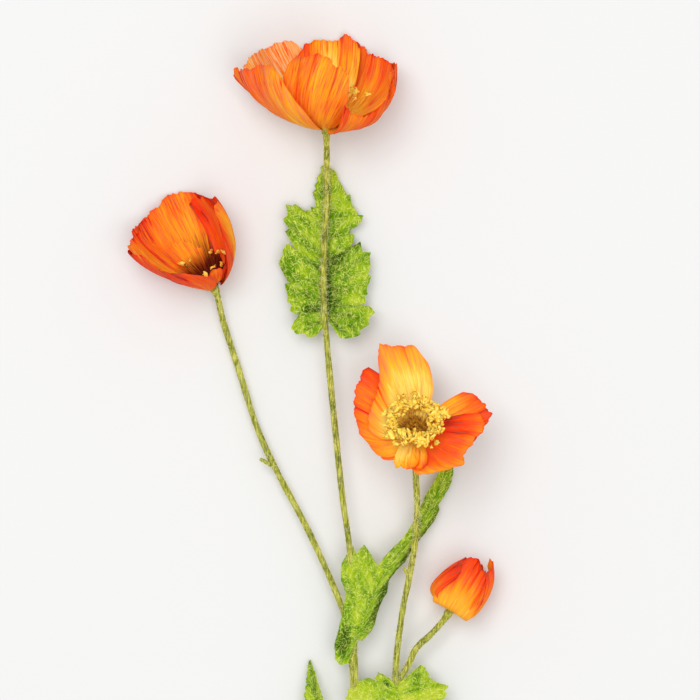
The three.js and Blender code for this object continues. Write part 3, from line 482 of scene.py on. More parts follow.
def add(tree, kind, values=None, links=None, stops=None, out=0, **settings):
    """Adds a node and gives its output, or the node itself where out is None.

    values are the constants of its inputs and links what feeds them, by name or number. A tuple
    feeds one input several times. settings are the node's own properties.
    A Mix node's colours are its inputs 6 and 7. A Map Range turns the range 1 to 2 into 3 to 4.
    """
    made = tree.nodes.new(kind)
    for key, value in settings.items():
        setattr(made, key, value)
    for key, value in (values or {}).items():
        made.inputs[key].default_value = value
    for key, source in (links or {}).items():
        for one in source if isinstance(source, tuple) else (source,):
            tree.links.new(one, made.inputs[key])
    if stops:
        points = made.color_ramp.elements
        while len(points) < len(stops):
            points.new(1.0)
        for point, (place, colour) in zip(points, stops):
            point.position = place
            point.color = colour
    return made if out is None else made.outputs[out]


def smooth(x):
    """Eases from 0 to 1 as x goes from 0 to 1."""
    x = np.clip(x, 0, 1)
    return x * x * (3 - 2 * x)


def noise(x, y, seed):
    """Smooth noise from -1 to 1, with about one swing per unit of x and y."""
    table = np.random.default_rng(seed).uniform(-1, 1, (64, 64))
    i, j = np.floor(x).astype(int), np.floor(y).astype(int)
    fx, fy = smooth(x - i), smooth(y - j)
    near = table[i % 64, j % 64] * (1 - fx) + table[(i + 1) % 64, j % 64] * fx
    far = table[i % 64, (j + 1) % 64] * (1 - fx) + table[(i + 1) % 64, (j + 1) % 64] * fx
    return near * (1 - fy) + far * fy


def evenly(values, x):
    """The value at x, from 0 to 1, of a row of evenly spaced values."""
    return np.interp(x, np.linspace(0, 1, len(values)), values)


def unit(vectors):
    """The vectors at length 1."""
    return vectors / np.maximum(np.linalg.norm(vectors, axis=-1, keepdims=True), 1e-12)


def grid_normals(points):
    """The normals of a grid of points, along its rows crossed with along its columns."""
    return unit(np.cross(np.gradient(points, axis=0), np.gradient(points, axis=1)))


def pressed(z, floor, ease=1.6):
    """Eases heights onto a floor, flat at floor and unchanged further than `ease` above it."""
    over = z - floor
    eased = floor + (over + ease) ** 2 / (4 * ease)
    return np.where(over >= ease, z, np.where(over <= -ease, floor, eased))


def mesh_piece(name, points, faces, material, uv=None, values=None):
    """A piece from points in millimetres, its faces, and a UV and values for each point."""
    mesh = bpy.data.meshes.new(name)
    mesh.from_pydata(np.asarray(points) * MM, [], faces)
    mesh.validate()
    mesh.materials.append(material)
    if uv is not None:
        corner = np.zeros(len(mesh.loops), np.int32)
        mesh.loops.foreach_get("vertex_index", corner)
        layer = mesh.uv_layers.new(name="along")
        layer.data.foreach_set("uv", uv[corner].astype(np.float32).ravel())
    for key, row in (values or {}).items():
        kept = mesh.attributes.new(key, "FLOAT", "POINT")
        kept.data.foreach_set("value", np.asarray(row, np.float32).ravel())
    mesh.shade_smooth()
    mesh.set_sharp_from_angle(angle=math.radians(CREASE_ANGLE))
    made = bpy.data.objects.new(name, mesh)
    bpy.context.scene.collection.objects.link(made)
    return made


def sheet_faces(rows, columns):
    """The faces of a closed thin sheet: a front and a back grid of points and the rim between them."""
    index = np.arange(rows * columns).reshape(rows, columns)
    back = index + rows * columns
    a, b, c, d = index[:-1, :-1], index[1:, :-1], index[1:, 1:], index[:-1, 1:]
    front = np.stack([a, b, c, d], -1).reshape(-1, 4)
    rims = [
        (index[1:, 0], index[:-1, 0], back[:-1, 0], back[1:, 0]),
        (index[:-1, -1], index[1:, -1], back[1:, -1], back[:-1, -1]),
        (index[0, :-1], index[0, 1:], back[0, 1:], back[0, :-1]),
        (index[-1, 1:], index[-1, :-1], back[-1, :-1], back[-1, 1:]),
    ]
    rim = np.concatenate([np.stack(r, -1) for r in rims])
    return np.concatenate([front, front[:, ::-1] + rows * columns, rim]).tolist()


def sheet_points(points, thickness):
    """The front and the back points of a thin sheet round a grid, kept above the table."""
    normals = grid_normals(points)
    both = np.concatenate([(points + normals * side * thickness / 2).reshape(-1, 3)
                           for side in (1, -1)])
    both[:, 2] = np.maximum(both[:, 2], 0)
    return both


def curve_points(points, spacing):
    """Points about `spacing` apart on a smooth curve through the given points, and how far along each is."""
    p = np.array(points, float)
    p = np.vstack([2 * p[0] - p[1], p, 2 * p[-1] - p[-2]])
    found = []
    for k in range(1, len(p) - 2):
        knots = np.cumsum([0] + [np.linalg.norm(p[k + n] - p[k + n - 1]) ** 0.5 for n in (0, 1, 2)])
        t = np.linspace(knots[1], knots[2], CURVE_STEPS, endpoint=False)[:, None]
        near = [(knots[n + 1] - t) / (knots[n + 1] - knots[n]) * p[k + n - 1]
                + (t - knots[n]) / (knots[n + 1] - knots[n]) * p[k + n] for n in (0, 1, 2)]
        mid = [(knots[n + 2] - t) / (knots[n + 2] - knots[n]) * near[n]
               + (t - knots[n]) / (knots[n + 2] - knots[n]) * near[n + 1] for n in (0, 1)]
        found.append((knots[2] - t) / (knots[2] - knots[1]) * mid[0]
                     + (t - knots[1]) / (knots[2] - knots[1]) * mid[1])
    line = np.vstack([*found, p[-2]])
    gone = np.concatenate([[0], np.cumsum(np.linalg.norm(np.diff(line, axis=0), axis=1))])
    count = max(2, int(round(gone[-1] / spacing))) + 1
    even = np.linspace(0, gone[-1], count)
    return np.stack([np.interp(even, gone, line[:, k]) for k in range(3)], -1), even


def flower_frame(flower):
    """A flower's base, and its axis, the side of it that faces up, and its right-hand side."""
    axis = unit(np.array(flower["axis"], float))
    up = unit(np.array([0, 0, 1]) - axis * axis[2])
    return np.array(flower["base"], float), axis, up, np.cross(axis, up)


def flower_matrix(flower):
    """Turns a piece made round +Z to stand on a flower's base, in metres."""
    base, axis, up, right = flower_frame(flower)
    turned = Matrix(np.stack([up, right, axis], -1).tolist()).to_4x4()
    return Matrix.Translation(Vector(base * MM)) @ turned


def dressed(piece, node):
    """Makes a mesh a piece of the part, in the place of a node of the solids if one is named."""
    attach(piece, "root")
    if node:
        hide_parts(node)


def tree_of(name, inputs):
    """A new Geometry Nodes tree with named inputs: (name, kind, default). Its inputs and result come too."""
    tree = bpy.data.node_groups.new(name, "GeometryNodeTree")
    tree.interface.new_socket("Geometry", in_out="INPUT", socket_type="NodeSocketGeometry")
    tree.interface.new_socket("Geometry", in_out="OUTPUT", socket_type="NodeSocketGeometry")
    for label, kind, default in inputs:
        socket = tree.interface.new_socket(label, in_out="INPUT", socket_type="NodeSocket" + kind)
        if default is not None:
            socket.default_value = default
    given, result = (add(tree, "NodeGroup" + end, out=None) for end in ("Input", "Output"))
    return tree, given.outputs, result.inputs[0]


def grown(name, source, tree, values):
    """Runs a tree on an object and keeps the result as a plain mesh piece."""
    modifier = source.modifiers.new("grow", "NODES")
    modifier.node_group = tree
    for item in tree.interface.items_tree:
        if item.item_type == "SOCKET" and item.in_out == "INPUT" and item.name in values:
            modifier[item.identifier] = values[item.name]
    evaluated = source.evaluated_get(bpy.context.evaluated_depsgraph_get())
    mesh = bpy.data.meshes.new_from_object(evaluated)
    source.modifiers.remove(modifier)
    mesh.name = name
    made = bpy.data.objects.new(name, mesh)
    bpy.context.scene.collection.objects.link(made)
    return made


def laid(hairs):
    """Lays the ends of hairs that would pass through the table on it."""
    points = np.empty(3 * len(hairs.data.vertices), np.float32)
    hairs.data.vertices.foreach_get("co", points)
    z = points[2::3]
    least, reach = 0.05 * MM, 2 * MM  # below least, a hair's height falls off over reach and stays over zero
    z[:] = np.where(z < least, least * np.exp((z - least) / reach), z)
    hairs.data.vertices.foreach_set("co", points)


# Materials

def tissue(name):
    """A material for plant tissue, with its tree and its shader."""
    made = bpy.data.materials.new(name)
    made.use_nodes = True
    shader = made.node_tree.nodes["Principled BSDF"]
    shader.inputs["IOR"].default_value = 1.42
    return made, made.node_tree, shader


def coat(tree, shader, colour, height, strength, depth):
    """Gives a shader its colour and a relief, whose depth is in metres."""
    bump = add(tree, "ShaderNodeBump", values={"Strength": strength, "Distance": depth},
               links={"Height": height})
    tree.links.new(colour, shader.inputs["Base Color"])
    tree.links.new(bump, shader.inputs["Normal"])


def petal_material(s):
    """Dried petal tissue, pressed in pleats: satin, with fine darker lines from root to rim, painted shade in
    its hollows, and painted light on its ridges and where it is thin.
    """
    made, tree, shader = tissue("petal_tissue_pleated")
    tint, crease, pale, root_shade, lines = (
        add(tree, "ShaderNodeAttribute", attribute_name=key, out="Fac")
        for key in ("tint", "crease", "pale", "root_shade", "lines"))
    uv = add(tree, "ShaderNodeUVMap", uv_map="along")
    # Threads 0.9 mm apart at the rim and 14 mm long, broad flushes 5 mm apart and 20 mm long, and the
    # noise of the thin lines, 1.7 mm apart and 45 mm long.
    noises, halved = [], []
    for scale, detail, rough in (((1.15, 0.07, 1), 3.0, 0.65), ((0.2, 0.05, 1), 2.0, 0.5),
                                 ((0.6, 0.022, 1), 0.6, 0.5)):
        found = add(tree, "ShaderNodeMapping", values={"Scale": scale}, links={"Vector": uv})
        found = add(tree, "ShaderNodeTexNoise", links={"Vector": found}, noise_dimensions="2D",
                    values={"Scale": 1.0, "Detail": detail, "Roughness": rough}, out="Fac")
        noises.append(found)
        halved.append(add(tree, "ShaderNodeMath", values={1: 0.5}, links={0: found},
                          operation="SUBTRACT"))
    fine, broad, _ = noises
    streak, flush, drawn = halved
    # The thin lines lie where their noise crosses its middle value, and mostly in the broad flushes.
    drawn = add(tree, "ShaderNodeMath", links={0: drawn}, operation="ABSOLUTE")
    drawn = add(tree, "ShaderNodeMapRange", values={1: 0.0, 2: 0.03, 3: 0.42, 4: 0.0}, links={0: drawn})
    places = add(tree, "ShaderNodeMapRange", values={1: 0.42, 2: 0.56, 3: 0.2, 4: 1.0}, links={0: broad})
    for share in (places, lines):
        drawn = add(tree, "ShaderNodeMath", links={0: drawn, 1: share}, operation="MULTIPLY")
    # The relief is painted in too: the tint falls on raised pleats and folds, a painted light, and rises in
    # their hollows and creases, a painted shade.
    total = tint
    for part, share in ((streak, 0.85), (flush, 0.28), (crease, -0.2), (drawn, 1.0)):
        total = add(tree, "ShaderNodeMath", values={1: share}, links={0: part, 2: total},
                    operation="MULTIPLY_ADD")
    colour = add(tree, "ShaderNodeValToRGB", links={"Fac": total}, stops=(
        (0.0, s.straw), (0.2, s.gold), (0.5, s.orange), (0.76, s.red), (0.92, s.scarlet),
        (1.0, s.deep_red),
    ), out="Color")
    # Between the threads the petal is worn to darker lines, and on a thin petal pale streaks are painted
    # light, for light shining through and fine highlights.
    for low, high, most, share, shade in ((0.52, 0.72, 0.45, lines, s.deep_red),
                                          (0.42, 0.62, 1.0, pale, s.pale)):
        mask = add(tree, "ShaderNodeMapRange", values={1: low, 2: high, 3: 0.0, 4: most}, links={0: fine})
        mask = add(tree, "ShaderNodeMath", links={0: mask, 1: share}, operation="MULTIPLY")
        colour = add(tree, "ShaderNodeMix", values={7: shade}, links={0: mask, 6: colour},
                     data_type="RGBA", out=2)
    # The painted shade at the root runs out along the threads.
    dark = add(tree, "ShaderNodeMath", values={1: 0.8}, links={0: streak, 2: root_shade},
               operation="MULTIPLY_ADD")
    dark = add(tree, "ShaderNodeMapRange", values={1: 0.1, 2: 0.9, 3: 0.0, 4: 1.0}, links={0: dark})
    edge = add(tree, "ShaderNodeMath", values={1: 4.0}, links={0: root_shade}, operation="MULTIPLY",
               use_clamp=True)
    dark = add(tree, "ShaderNodeMath", links={0: dark, 1: edge}, operation="MULTIPLY")
    colour = add(tree, "ShaderNodeMix", values={7: s.root_shade}, links={0: dark, 6: colour}, data_type="RGBA",
                 out=2)
    coat(tree, shader, colour, fine, 0.6, 0.2 * MM)
    shader.inputs["Roughness"].default_value = 0.62
    shader.inputs["Specular IOR Level"].default_value = 0.04
    shader.inputs["Subsurface Weight"].default_value = 0.12
    shader.inputs["Subsurface Radius"].default_value = (1.0, 0.35, 0.08)
    shader.inputs["Subsurface Scale"].default_value = 0.8 * MM
    return made


def leaf_material(s):
    """Leaf tissue, pressed and hairy: matt olive green, with painted shade in its folds and hollows, painted
    light on its swellings, and fine pale fibres.
    """
    made, tree, shader = tissue("leaf_tissue_hairy")
    relief, shade = (add(tree, "ShaderNodeAttribute", attribute_name=key, out="Fac")
                     for key in ("relief", "shade"))
    uv = add(tree, "ShaderNodeUVMap", uv_map="along")
    # Mottling 12 mm across with grains down to 0.8 mm in it, and painted shade in folds and veins and painted
    # light on swellings, from the piece itself.
    mottle = add(tree, "ShaderNodeTexNoise", values={"Scale": 0.085, "Detail": 4.0, "Roughness": 0.6},
                 links={"Vector": uv}, noise_dimensions="2D", out="Fac")
    total = add(tree, "ShaderNodeMath", values={1: 0.5, 2: 0.245}, links={0: mottle},
                operation="MULTIPLY_ADD")
    # The relief and the folds are painted in: lighter on swellings, a painted light, and darker in veins, the
    # midrib's dip and the folds, a painted shade.
    for part, share in ((relief, 0.26), (shade, 0.75)):
        total = add(tree, "ShaderNodeMath", values={1: share}, links={0: part, 2: total},
                    operation="MULTIPLY_ADD")
    colour = add(tree, "ShaderNodeValToRGB", links={"Fac": total}, stops=(
        (0.18, s.dark), (0.42, s.green), (0.6, s.light), (0.85, s.faded),
    ), out="Color")
    # Fine fibres that lie in all directions: strokes 0.4 mm wide and 3 mm long in five directions,
    # fainter in the painted shade of the folds.
    lit = add(tree, "ShaderNodeMapRange", values={1: -0.7, 2: -0.1, 3: 0.3, 4: 1.0}, links={0: shade})
    for turn in (0.2, 0.9, 1.5, 2.1, 2.8):
        lain = add(tree, "ShaderNodeMapping", values={"Rotation": (0, 0, turn), "Scale": (0.36, 3.0, 1)},
                   links={"Vector": uv}, vector_type="TEXTURE")
        lain = add(tree, "ShaderNodeTexNoise", values={"Scale": 1.0, "Detail": 0.0, "Distortion": 0.3},
                   links={"Vector": lain}, noise_dimensions="2D", out="Fac")
        lain = add(tree, "ShaderNodeMapRange", values={1: 0.71, 2: 0.8, 3: 0.0, 4: 0.62}, links={0: lain})
        lain = add(tree, "ShaderNodeMath", links={0: lain, 1: lit}, operation="MULTIPLY")
        colour = add(tree, "ShaderNodeMix", values={7: s.fibre}, links={0: lain, 6: colour},
                     data_type="RGBA", out=2)
    coat(tree, shader, colour, mottle, 0.4, 0.3 * MM)
    shader.inputs["Roughness"].default_value = 0.75
    shader.inputs["Specular IOR Level"].default_value = 0.03
    return made


def stem_material(s):
    """Fibrous green stem, dried: matt olive, streaked along its length."""
    made, tree, shader = tissue("stem_skin_fibrous")
    place = add(tree, "ShaderNodeTexCoord", out="Object")
    # Streaks 0.7 mm wide and 5 mm long, as the stems all run nearly along Y, on patches 11 mm across.
    drawn = add(tree, "ShaderNodeMapping", values={"Scale": (1400, 200, 1400)}, links={"Vector": place})
    streak = add(tree, "ShaderNodeTexNoise", values={"Scale": 1.0, "Detail": 3.0},
                 links={"Vector": drawn}, out="Fac")
    patch = add(tree, "ShaderNodeTexNoise", values={"Scale": 90.0, "Detail": 2.0},
                links={"Vector": place}, out="Fac")
    total = add(tree, "ShaderNodeMath", values={1: 0.5}, links={0: patch, 2: streak},
                operation="MULTIPLY_ADD")
    colour = add(tree, "ShaderNodeValToRGB", links={"Fac": total}, stops=(
        (0.58, s.dark), (0.74, s.olive), (0.94, s.light),
    ), out="Color")
    coat(tree, shader, colour, streak, 0.6, 0.3 * MM)
    shader.inputs["Roughness"].default_value = 0.7
    return made


def grain_material(name, dark, light, grain, roughness):
    """A dry, powdery or bristly tissue in two shades, in grains of the given size in millimetres."""
    made, tree, shader = tissue(name)
    place = add(tree, "ShaderNodeTexCoord", out="Object")
    specks = add(tree, "ShaderNodeTexNoise", values={"Scale": 1 / (grain * MM), "Detail": 2.0},
                 links={"Vector": place}, out="Fac")
    colour = add(tree, "ShaderNodeValToRGB", links={"Fac": specks}, stops=(
        (0.36, dark), (0.62, light),
    ), out="Color")
    coat(tree, shader, colour, specks, 0.5, 0.2 * MM)
    shader.inputs["Roughness"].default_value = roughness
    return made


# Petals

LONGEST = 1.3  # the greatest share of a petal's length that its rim reaches
COURSE_STEPS = 400  # steps in a petal's length when its course is drawn
SOLID_LAG = 1 / 48  # half of one of the solid petal's 24 steps, so that both bend alike
SCALLOPS = ((5, 1, 40), (2.1, 0.8, 0), (0.9, 0.6, 0))  # each one's spacing, share of height, and start
CUP = (1.15, 1)  # a petal curves round the axis at its distance from it times the first, plus the second
RIM_WAVES = 2.3  # waves across a petal's rim
WANDER = (1.2, 9, 2.2)  # how far pleats wander, how broad the parts are that do, and how often
# A crease is painted darker, a painted shade in its hollow.
CREASE_SHADE = 0.36  # what a crease adds to the tint
# The rim's darker line is painted shade along a petal's edges.
RIM_SHADE = (0.965, 0.03, 0.12)  # where the darker line at the rim starts, its breadth, and its tint


def petal_course(petal, u):
    """How far out and how high a petal runs, and its lean, on fine steps from root to rim."""
    rows = petal["lean"] if isinstance(petal["lean"][0], tuple) else (petal["lean"],) * 3
    fine = np.linspace(0, LONGEST, round(LONGEST * COURSE_STEPS) + 1)
    rows = np.stack([np.radians(evenly(row, fine - SOLID_LAG)) for row in rows], -1)
    lean = rows @ np.stack([np.maximum(-u, 0), 1 - np.abs(u), np.maximum(u, 0)])
    step = petal["length"] / COURSE_STEPS
    whorl = petal["whorl"]
    out, high = (start + np.concatenate([0 * u[None], np.cumsum(turn(lean)[:-1], axis=0)]) * step
                 for start, turn in ((ROOT_RING[whorl], np.sin), (ROOT_LIFT[whorl], np.cos)))
    return fine, out, high, lean


def creases(across, t, count, width, gathered, seed):
    """Narrow folds that run towards the rim, each over its own stretch, as depths from 0 to 1."""
    chance = np.random.default_rng(seed)
    depth = np.zeros(np.broadcast(across, t).shape)
    for _ in range(int(count)):
        # Place, tilt and breadth are in millimetres, start and end in shares of the petal's length.
        place, tilt = chance.uniform(-0.5, 0.5) * width, chance.normal(0, 2.2)
        start, end = chance.uniform(0.05, 0.65) + gathered, chance.uniform(0.6, 1.25) + gathered
        deep, broad = chance.uniform(0.3, 1), chance.uniform(0.32, 0.6)
        line = place + tilt * (t - 0.5) + 0.9 * noise(t * 3.5, 0 * t, chance.integers(10 ** 6))
        along = smooth((t - start) / 0.15) * smooth((end - t) / 0.2)
        depth = np.maximum(depth, deep * along * np.exp(-((across - line) / broad) ** 2))
    return depth


def petal_piece(name, flower, petal, s, material, seed):
    """One petal as a thin closed sheet, pleated and creased from root to rim, with a torn rim."""
    petal = {"layer": petal["whorl"], "creases": petal["width"] / 4, **PLAIN_PETAL, **petal}
    base, axis, up, right = flower_frame(flower)
    turn = math.radians(petal["angle"])
    outward = up * math.cos(turn) + right * math.sin(turn)
    sideways = np.cross(axis, outward)
    size, width, thickness = petal["length"], petal["width"], s.thickness / MM
    u = np.linspace(-1, 1, s.columns + 1)[None, :]
    v = np.linspace(0, 1, s.rows + 1)[:, None]
    across, place = u * width / 2, (u + 1) / 2
    # The rim: the petal's outline, broad scallops, and small tatters on them.
    torn = sum(share * noise(across / spacing + start, 0 * u, seed + k)
               for k, (spacing, share, start) in enumerate(SCALLOPS)) * s.tatter / MM / size
    t = v * (1 - petal["round"] * np.abs(u) ** 3) * evenly(petal["rim"], place) * (1 + torn * v ** 5)
    fine, *course = petal_course(petal, u[0])
    radius, height, lean = (np.stack([np.interp(t[:, k], fine, row[:, k]) for k in range(u.size)], -1)
                            for row in course)
    spread = np.sin(np.pi / 2 * v) ** petal["spread"]
    half_width = ROOT_HALF_WIDTH[petal["whorl"]] * (1 - spread) + width / 2 * spread
    bend = radius * CUP[0] + CUP[1]
    sweep = u * half_width / bend
    wave = petal["ruffle"] * t * t * np.sin(np.pi * RIM_WAVES * u)
    points = (base + (radius - bend * (1 - np.cos(sweep)) - wave * np.cos(lean))[..., None] * outward
              + (bend * np.sin(sweep))[..., None] * sideways
              + (height + wave * np.sin(lean))[..., None] * axis)
    # Pleats and folds wander a little on their way to the rim.
    drawn = across + petal["skew"] * (0.4 - t) * width / 2
    far, broad, often = WANDER
    wander = far * noise(across / broad, t * often, seed + 3) + drawn
    pleat = 1 - 2 * np.abs(noise(wander / (s.pleat_spacing / MM), t * 2.5, seed + 4)) ** 0.7
    fold = noise(wander / (s.fold_spacing / MM), t * 1.3 + 9, seed + 5)
    crease = creases(drawn, t, petal["creases"], width, petal["gathered"], seed + 7)
    rise = smooth((t - 0.08) / 0.5)
    lift = (((s.pleat / MM) * pleat * rise + (s.fold / MM) * fold * smooth(t * 1.1)) * petal["folds"]
            - (s.crease / MM) * crease)
    points = points + grid_normals(points) * lift[..., None]
    # Where petals lie on the table they are stacked, one and a half thicknesses apart.
    points[..., 2] = pressed(points[..., 2], thickness * (0.5 + 1.5 * petal["layer"]))
    # The tint gets painted shade: a darker line along the rim and the side edges, and more red in the
    # creases.
    start, breadth, darker = RIM_SHADE
    blush = (petal["blush"] * noise(drawn / 7, t * 3, seed + 6) + 0.05 * noise(drawn / 1.6, t * 2, seed + 8)
             + evenly(petal["bands"], place)
             + darker * np.maximum(smooth((v - start) / breadth), smooth((np.abs(u) - start) / breadth)))
    shades = [evenly(petal[side], v) + blush + CREASE_SHADE * crease for side in ("inside", "outside")]
    # The painted shade at the root is on the inside alone, and fades towards the petal's right edge.
    strength, reach = petal["root_shade"]
    root_shade = strength * (1 - smooth((t - 0.12) / reach)) * (1 - 0.7 * smooth(u - 0.1))
    values = {
        "tint": np.stack(shades),
        # The relief, with which the material paints light on the ridges and shade in the hollows.
        "crease": np.stack([lift, lift]) / (s.pleat / MM + s.fold / MM),
        "pale": np.full((2, *t.shape), petal["pale"]),
        "lines": np.full((2, *t.shape), petal["lines"]),
        "root_shade": np.stack([root_shade, 0 * root_shade]),
    }
    # Each petal reads its own part of the patterns.
    uv = np.stack([drawn + 0 * t + seed * 7, t * size], -1).reshape(-1, 2)
    made = mesh_piece(name + "_petal", sheet_points(points, thickness), sheet_faces(*t.shape), material,
                      np.concatenate([uv, uv]), values)
    dressed(made, name)


class POPPY_OT_petals(bpy.types.Operator):
    """Makes the pleated petals of the three flowers and of the bud."""

    bl_idname = "poppy.petals"
    bl_label = "Petals"

    def execute(self, context):
        s = context.scene.poppy_petals
        material = petal_material(s)
        seed = 100
        for name, flower in FLOWERS.items():
            for which, petal in flower["petals"].items():
                petal_piece(f"{name}_petal_{which}", flower, petal, s, material, seed)
                seed += 10
        return {"FINISHED"}


# Stems

STEM_TOP = ((0, 3, 3.3, 4, 5.4, 7.2), (1.9, 1.9, 2.4, 2.5, 2.2, 1.7))  # distance from the end, and radius
SWELLING = 9.5  # length of the swelling under a flower
TIP_RADIUS = 1.6  # of a stem's end inside a flower
FORK_SWELLING = (0.75, 3.2)  # how much thicker a stem is at a fork, and how far from it that reaches


def stem_line(radius, points, carried, step):
    """The points and radii of one stem, with its swollen top where it carries a flower."""
    points = [np.array(p, float) for p in points]
    if carried:
        # It ends straight along the flower's axis, inside the flower's middle.
        base, axis, *_ = flower_frame(FLOWERS[carried])
        points += [base - axis * 4, base - axis * 0.5, base + axis * 3.1]
    line, gone = curve_points(points, step)
    left = gone[-1] - gone
    radii = np.full(len(line), float(radius))
    radii += 0.07 * radius * noise(gone / 9, 0 * gone, len(points))
    if carried:
        away, thick = STEM_TOP
        swollen = np.interp(left, (*away, SWELLING), (*thick, radius))
        radii = np.where(left < SWELLING, swollen, radii)
        radii[left < 0.35] = TIP_RADIUS
    else:
        radii[left < 0.3] *= 0.7
    thicker, reach = FORK_SWELLING
    for fork in (NODE_A, NODE_B):
        near = np.linalg.norm(line - np.array(fork), axis=1)
        radii += thicker * np.exp(-(near / reach) ** 2)
    return line, radii


def stem_tree():
    """Sweeps a round skin along the curves and makes it uneven."""
    tree, given, result = tree_of("stem_skin", (
        ("Sides", "Int", 16), ("Unevenness", "Float", 0.0002), ("Grain", "Float", 500.0),
        ("Material", "Material", None),
    ))
    ring = add(tree, "GeometryNodeCurvePrimitiveCircle", values={"Radius": 1.0},
               links={"Resolution": given["Sides"]}, out="Curve")
    line = add(tree, "GeometryNodeMeshToCurve", links={"Mesh": given["Geometry"]})
    width = add(tree, "GeometryNodeInputNamedAttribute", data_type="FLOAT", values={"Name": "width"})
    tube = add(tree, "GeometryNodeCurveToMesh", values={"Fill Caps": True},
               links={"Curve": line, "Profile Curve": ring, "Scale": width})
    place = add(tree, "GeometryNodeInputPosition")
    # The skin's unevenness is drawn out four times along Y, the way that the stems run.
    stretched = add(tree, "ShaderNodeVectorMath", values={1: (1.0, 0.25, 1.0)}, links={0: place},
                    operation="MULTIPLY")
    rough = add(tree, "ShaderNodeTexNoise", values={"Detail": 1.0},
                links={"Vector": stretched, "Scale": given["Grain"]}, out="Fac")
    rough = add(tree, "ShaderNodeMath", values={1: 0.5}, links={0: rough}, operation="SUBTRACT")
    rough = add(tree, "ShaderNodeMath", links={0: rough, 1: given["Unevenness"]}, operation="MULTIPLY")
    normal = add(tree, "GeometryNodeInputNormal")
    offset = add(tree, "ShaderNodeVectorMath", links={0: normal, "Scale": rough}, operation="SCALE")
    moved = add(tree, "GeometryNodeSetPosition", links={"Geometry": tube, "Offset": offset})
    soft = add(tree, "GeometryNodeSetShadeSmooth", links={"Geometry": moved})
    real = add(tree, "GeometryNodeRealizeInstances", links={"Geometry": soft})
    done = add(tree, "GeometryNodeSetMaterial", links={"Geometry": real, "Material": given["Material"]})
    tree.links.new(done, result)
    return tree


def hair_tree():
    """Grows tapered, bent hairs on a surface, leaning from its normal, in random lengths."""
    tree, given, result = tree_of("hairs", (
        ("Density", "Float", 1000.0), ("Length", "Float", 0.003), ("Radius", "Float", 0.0001),
        ("Lean", "Float", 1.0), ("Bend", "Float", 0.3), ("Seed", "Int", 1), ("Material", "Material", None),
        ("Keep Surface", "Bool", False),
    ))
    spots = add(tree, "GeometryNodeDistributePointsOnFaces",
                links={"Mesh": given["Geometry"], "Density": given["Density"], "Seed": given["Seed"]},
                out=None)
    hair = add(tree, "GeometryNodeMeshCone",
               values={"Vertices": 3, "Side Segments": 3, "Radius Top": 0.12, "Radius Bottom": 1.0,
                       "Depth": 1.0}, out="Mesh")
    # It is bent aside by the square of its height. Length over radius makes up for its scale there.
    place = add(tree, "GeometryNodeInputPosition")
    high = add(tree, "ShaderNodeSeparateXYZ", links={0: place}, out="Z")
    reach = add(tree, "ShaderNodeMath", links={0: given["Length"], 1: given["Radius"]},
                operation="DIVIDE")
    aside = add(tree, "ShaderNodeMath", links={0: high, 1: high}, operation="MULTIPLY")
    for share in (reach, given["Bend"]):
        aside = add(tree, "ShaderNodeMath", links={0: aside, 1: share}, operation="MULTIPLY")
    aside = add(tree, "ShaderNodeCombineXYZ", links={"X": aside})
    hair = add(tree, "GeometryNodeSetPosition", links={"Geometry": hair, "Offset": aside})
    # Each hair leans from the normal its own way, and is spun and cut to its own length.
    stray = add(tree, "FunctionNodeRandomValue", data_type="FLOAT_VECTOR",
                values={0: (-1.0, -1.0, -1.0), 1: (1.0, 1.0, 1.0)}, links={"Seed": given["Seed"]})
    stray = add(tree, "ShaderNodeVectorMath", links={0: stray, "Scale": given["Lean"]}, operation="SCALE")
    way = add(tree, "ShaderNodeVectorMath", links={0: spots.outputs["Normal"], 1: stray}, operation="ADD")
    turn = add(tree, "FunctionNodeAlignRotationToVector", axis="Z", links={"Vector": way})
    spin = add(tree, "FunctionNodeRandomValue", values={2: 0.0, 3: FULL_TURN},
               links={"Seed": given["Seed"]}, out=1)
    spin = add(tree, "ShaderNodeCombineXYZ", links={"Z": spin})
    turn = add(tree, "FunctionNodeRotateRotation", rotation_space="LOCAL",
               links={"Rotation": turn, "Rotate By": spin})
    tall = add(tree, "FunctionNodeRandomValue", values={2: 0.35, 3: 1.0}, links={"Seed": given["Seed"]},
               out=1)
    tall = add(tree, "ShaderNodeMath", links={0: tall, 1: given["Length"]}, operation="MULTIPLY")
    size = add(tree, "ShaderNodeCombineXYZ",
               links={"X": given["Radius"], "Y": given["Radius"], "Z": tall})
    set_out = add(tree, "GeometryNodeInstanceOnPoints",
                  links={"Points": spots.outputs["Points"], "Instance": hair, "Rotation": turn,
                         "Scale": size})
    real = add(tree, "GeometryNodeRealizeInstances", links={"Geometry": set_out})
    coloured = add(tree, "GeometryNodeSetMaterial",
                   links={"Geometry": real, "Material": given["Material"]})
    both = add(tree, "GeometryNodeJoinGeometry", links={"Geometry": (coloured, given["Geometry"])})
    chosen = add(tree, "GeometryNodeSwitch", input_type="GEOMETRY",
                 links={"Switch": given["Keep Surface"], "False": coloured, "True": both})
    tree.links.new(chosen, result)
    return tree


